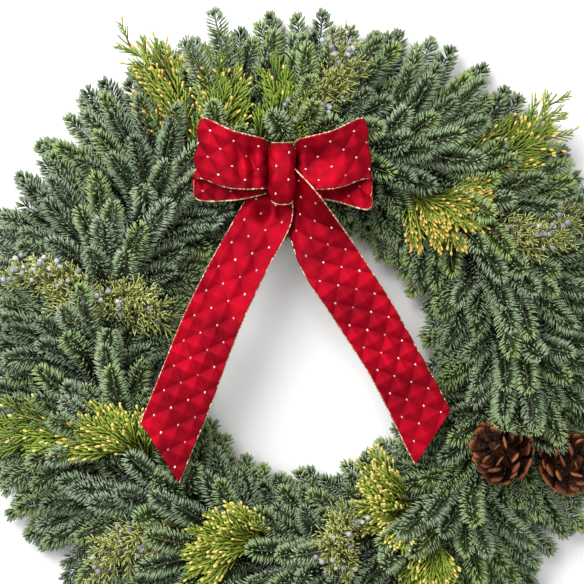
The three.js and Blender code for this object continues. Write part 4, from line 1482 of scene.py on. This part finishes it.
# Each spray's plant, clamp and row, its middle tip as radius, angle and height, and its look: the
# share of a cedar's branchlets with pollen cones and how golden these are, or how many groups of
# berries a juniper bears
SPRAYS = [
    (Kind.CEDAR, 6, Row.OUTER, (364, 117, 60), (0.4, 0.95)),
    (Kind.CEDAR, 6, Row.INNER, (300, 106, 88), (0.25, 0.8)),
    (Kind.CEDAR, 5, Row.INNER, (272, 94, 80), (0.04, 0.3)),
    (Kind.CEDAR, 3, Row.OUTER, (352, 42, 62), (0.3, 0.7)),
    (Kind.CEDAR, 3, Row.INNER, (208, 40, 90), (0.9, 0.95)),
    (Kind.CEDAR, 14, Row.INNER, (172, 294, 80), (0.75, 0.2)),
    (Kind.CEDAR, 14, Row.OUTER, (286, 297, 84), (0.4, 0.3)),
    (Kind.CEDAR, 12, Row.INNER, (226, 241, 92), (0.65, 0.2)),
    (Kind.CEDAR, 10, Row.INNER, (232, 198, 90), (0.5, 0.25)),
    (Kind.CEDAR, 10, Row.OUTER, (318, 192, 68), (0.12, 0.2)),
    (Kind.JUNIPER, 5, Row.OUTER, (312, 80, 86), (14,)),
    (Kind.JUNIPER, 8, Row.OUTER, (300, 162, 84), (16,)),
    (Kind.JUNIPER, 8, Row.INNER, (184, 160, 84), (8,)),
    (Kind.JUNIPER, 2, Row.OUTER, (298, 24, 84), (14,)),
    (Kind.JUNIPER, 13, Row.INNER, (204, 277, 90), (12,)),
    (Kind.JUNIPER, 11, Row.OUTER, (300, 223, 78), (10,)),
]

# The layers of fir tips of one clamp, from the lowest up: radius, height and how many
FIR_LAYERS = {
    Row.OUTER: [(354, 18, 6), (341, 42, 6), (312, 66, 4), (279, 88, 4), (246, 106, 3)],
    Row.INNER: [(139, 22, 4), (149, 46, 4), (177, 74, 3), (212, 98, 3)],
}
FIRST_LAG = {Row.OUTER: 14.0, Row.INNER: 19.0}
LAG_STEP = 2.5
# How much farther than the mean the foliage reaches to the left
LEFT_EXCESS = 0.025
# Sprigs that lie over the sprays and over the upper edge of the cones, and low ones that fill the
# rim, as tips' radius, angle and height
MORE_TIPS = {
    (10, Row.OUTER): [(236, 189.5, 94), (276, 195, 102), (346, 207, 34), (328, 211, 46)],
    (6, Row.OUTER): [(349, 111.3, 96), (370, 105.5, 84), (277, 111, 106)],
    (5, Row.OUTER): [(259, 88.5, 108), (251, 98.7, 106)],
    (3, Row.OUTER): [(340, 52.6, 34)],
    (0, Row.OUTER): [(253, -18.4, 110), (284, -20.0, 104), (322, -34, 46), (300, -30, 40),
                     (335, -25, 30)],
    (0, Row.INNER): [(222, -21.5, 112), (203, -27.0, 106)],
}
SPRAY_ROOM = 36.0
UNDER_SPRAY = 60.0
# Where a spray's fronds end beside its middle one: how many steps outward, negative for inward,
# and how far outward, how far down and how many degrees back a whole step is
FROND_SPREAD = (-1.0, -0.5, 0.0, 0.5, 1.0)
FROND_STEP = 32.0
FROND_DROP = 6.0
FROND_BACK = 5.0
FIR_SEED = 100
SPRAY_SEEDS = {Kind.CEDAR: 200, Kind.JUNIPER: 220}


def under_sprays(radius: float, angle: float, height: float) -> tuple[float, float, float]:
    """Gives a fir tip, lowered where a spray lies over it."""
    place = polar(radius, angle, 0)[:2]
    taken = [polar(far, turn + 3, 0)[:2] for *_, (far, turn, _), _ in SPRAYS]
    covered = min(np.linalg.norm(place - other) for other in taken) < SPRAY_ROOM
    return radius, angle, min(height, UNDER_SPRAY) if covered else height


def fir_bunch(clamp: int, row: Row) -> Bunch:
    """Gives the fir bunch of a clamp. Each layer's tips stand between those of the layer below."""
    tips = []
    for layer, (radius, height, count) in enumerate(FIR_LAYERS[row]):
        for k in range(count):
            number = clamp * 41 + layer * 6 + k + (0 if row is Row.OUTER else 23)
            lag = FIRST_LAG[row] + LAG_STEP * layer + CLAMP_STEP * (k + 0.5 * (layer % 2)) / count
            angle = clamp * CLAMP_STEP - lag + 2.4 * draw(number, 2)
            wider = 1 + LEFT_EXCESS * math.cos(math.radians(angle - 170)) * (row is Row.OUTER)
            reach = radius * wider + 8 * draw(number, 1)
            tips.append(under_sprays(reach, angle, height + 6 * draw(number, 3)))
    tips += MORE_TIPS.get((clamp, row), [])
    node = f"fir_{row.name.lower()}_{clamp + 1}"
    seed = FIR_SEED + 2 * clamp + (row is Row.INNER)
    return Bunch(node, Kind.FIR, clamp, row, tuple(tips), seed)


def add_foliage(bow: Ceiling) -> None:
    """Adds the fir bunches, and the sprays on top of them."""
    for clamp in range(CLAMPS):
        for row in Row:
            FirBunch(fir_bunch(clamp, row), bow)
    counts = {Kind.CEDAR: 0, Kind.JUNIPER: 0}
    for kind, clamp, row, (radius, angle, height), look in SPRAYS:
        counts[kind] += 1
        tips = tuple((radius + FROND_STEP * m, angle + FROND_BACK * abs(m) - m,
                      height - FROND_DROP * abs(m)) for m in FROND_SPREAD)
        node = f"{kind.value}_spray_{counts[kind]}"
        bunch = Bunch(node, kind, clamp, row, tips, SPRAY_SEEDS[kind] + counts[kind])
        spray = CedarSpray if kind is Kind.CEDAR else JuniperSpray
        spray(bunch, look, bow)


# Studio

@dataclass(frozen=True)
class Studio:
    """The floor, the light and the camera, which looks straight down on the wreath."""

    frame_width: float = 619.0
    middle: tuple[float, float] = (-17.0, 64.0)
    camera_height: float = 2400.0
    focus_height: float = 80.0
    sensor: float = 36.0

    def build(self) -> None:
        """Sets up the whole studio."""
        self._floor()
        self._world()
        self._lamp("key", (-0.95, 1.05, 1.9), 1.6, 80.0)
        self._lamp("fill", (1.3, -0.6, 1.9), 2.2, 12.0)
        self._camera()
        bpy.context.scene.view_settings.view_transform = "Standard"

    @staticmethod
    def _floor() -> None:
        """Adds the pale floor."""
        half = 4.0
        mesh = bpy.data.meshes.new("floor")
        corners = [(-half, -half, 0), (half, -half, 0), (half, half, 0), (-half, half, 0)]
        mesh.from_pydata(corners, [], [(0, 1, 2, 3)])
        make = Shading("floor_paper")
        colour = make.mix(make.noise(120.0), "#f0f0f1", "#f3f3f4")
        mesh.materials.append(make.finish({"Base Color": colour, "Roughness": 0.9}))
        link("floor", mesh)

    @staticmethod
    def _world() -> None:
        """Adds the pale light from all round."""
        world = bpy.data.worlds.new("studio")
        world.use_nodes = True
        background = world.node_tree.nodes["Background"]
        background.inputs["Color"].default_value = linear("#f6f6f4")
        background.inputs["Strength"].default_value = 0.62
        bpy.context.scene.world = world

    @staticmethod
    def _lamp(name: str, place: tuple[float, float, float], size: float, power: float) -> None:
        """Adds a soft lamp that shines on the middle of the wreath."""
        light = bpy.data.lights.new(name, "AREA")
        light.size = size
        light.energy = power
        lamp = link(name, light)
        lamp.location = place
        lamp.rotation_euler = Vector(place).to_track_quat("Z", "Y").to_euler()

    def _camera(self) -> None:
        """Adds the camera."""
        data = bpy.data.cameras.new("camera")
        data.sensor_width = self.sensor
        data.lens = self.sensor * (self.camera_height - self.focus_height) / self.frame_width
        camera = link("camera", data)
        camera.location = (self.middle[0] * MM, self.middle[1] * MM, self.camera_height * MM)
        bpy.context.scene.camera = camera


def main() -> None:
    """Builds the wreath, its light and its camera, and logs each piece's triangles."""
    logging.basicConfig(level=logging.INFO, format="%(name)s: %(message)s")
    strips = bow_strips()
    Studio().build()
    add_ring()
    add_tie_wires()
    for k, (centre, axis) in enumerate(CONES):
        PineCone().place(f"pine_cone_{k + 1}", centre, axis)
    add_foliage(Ceiling(strips))
    Bow(strips)
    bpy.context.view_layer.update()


if __name__ == "__main__":
    main()
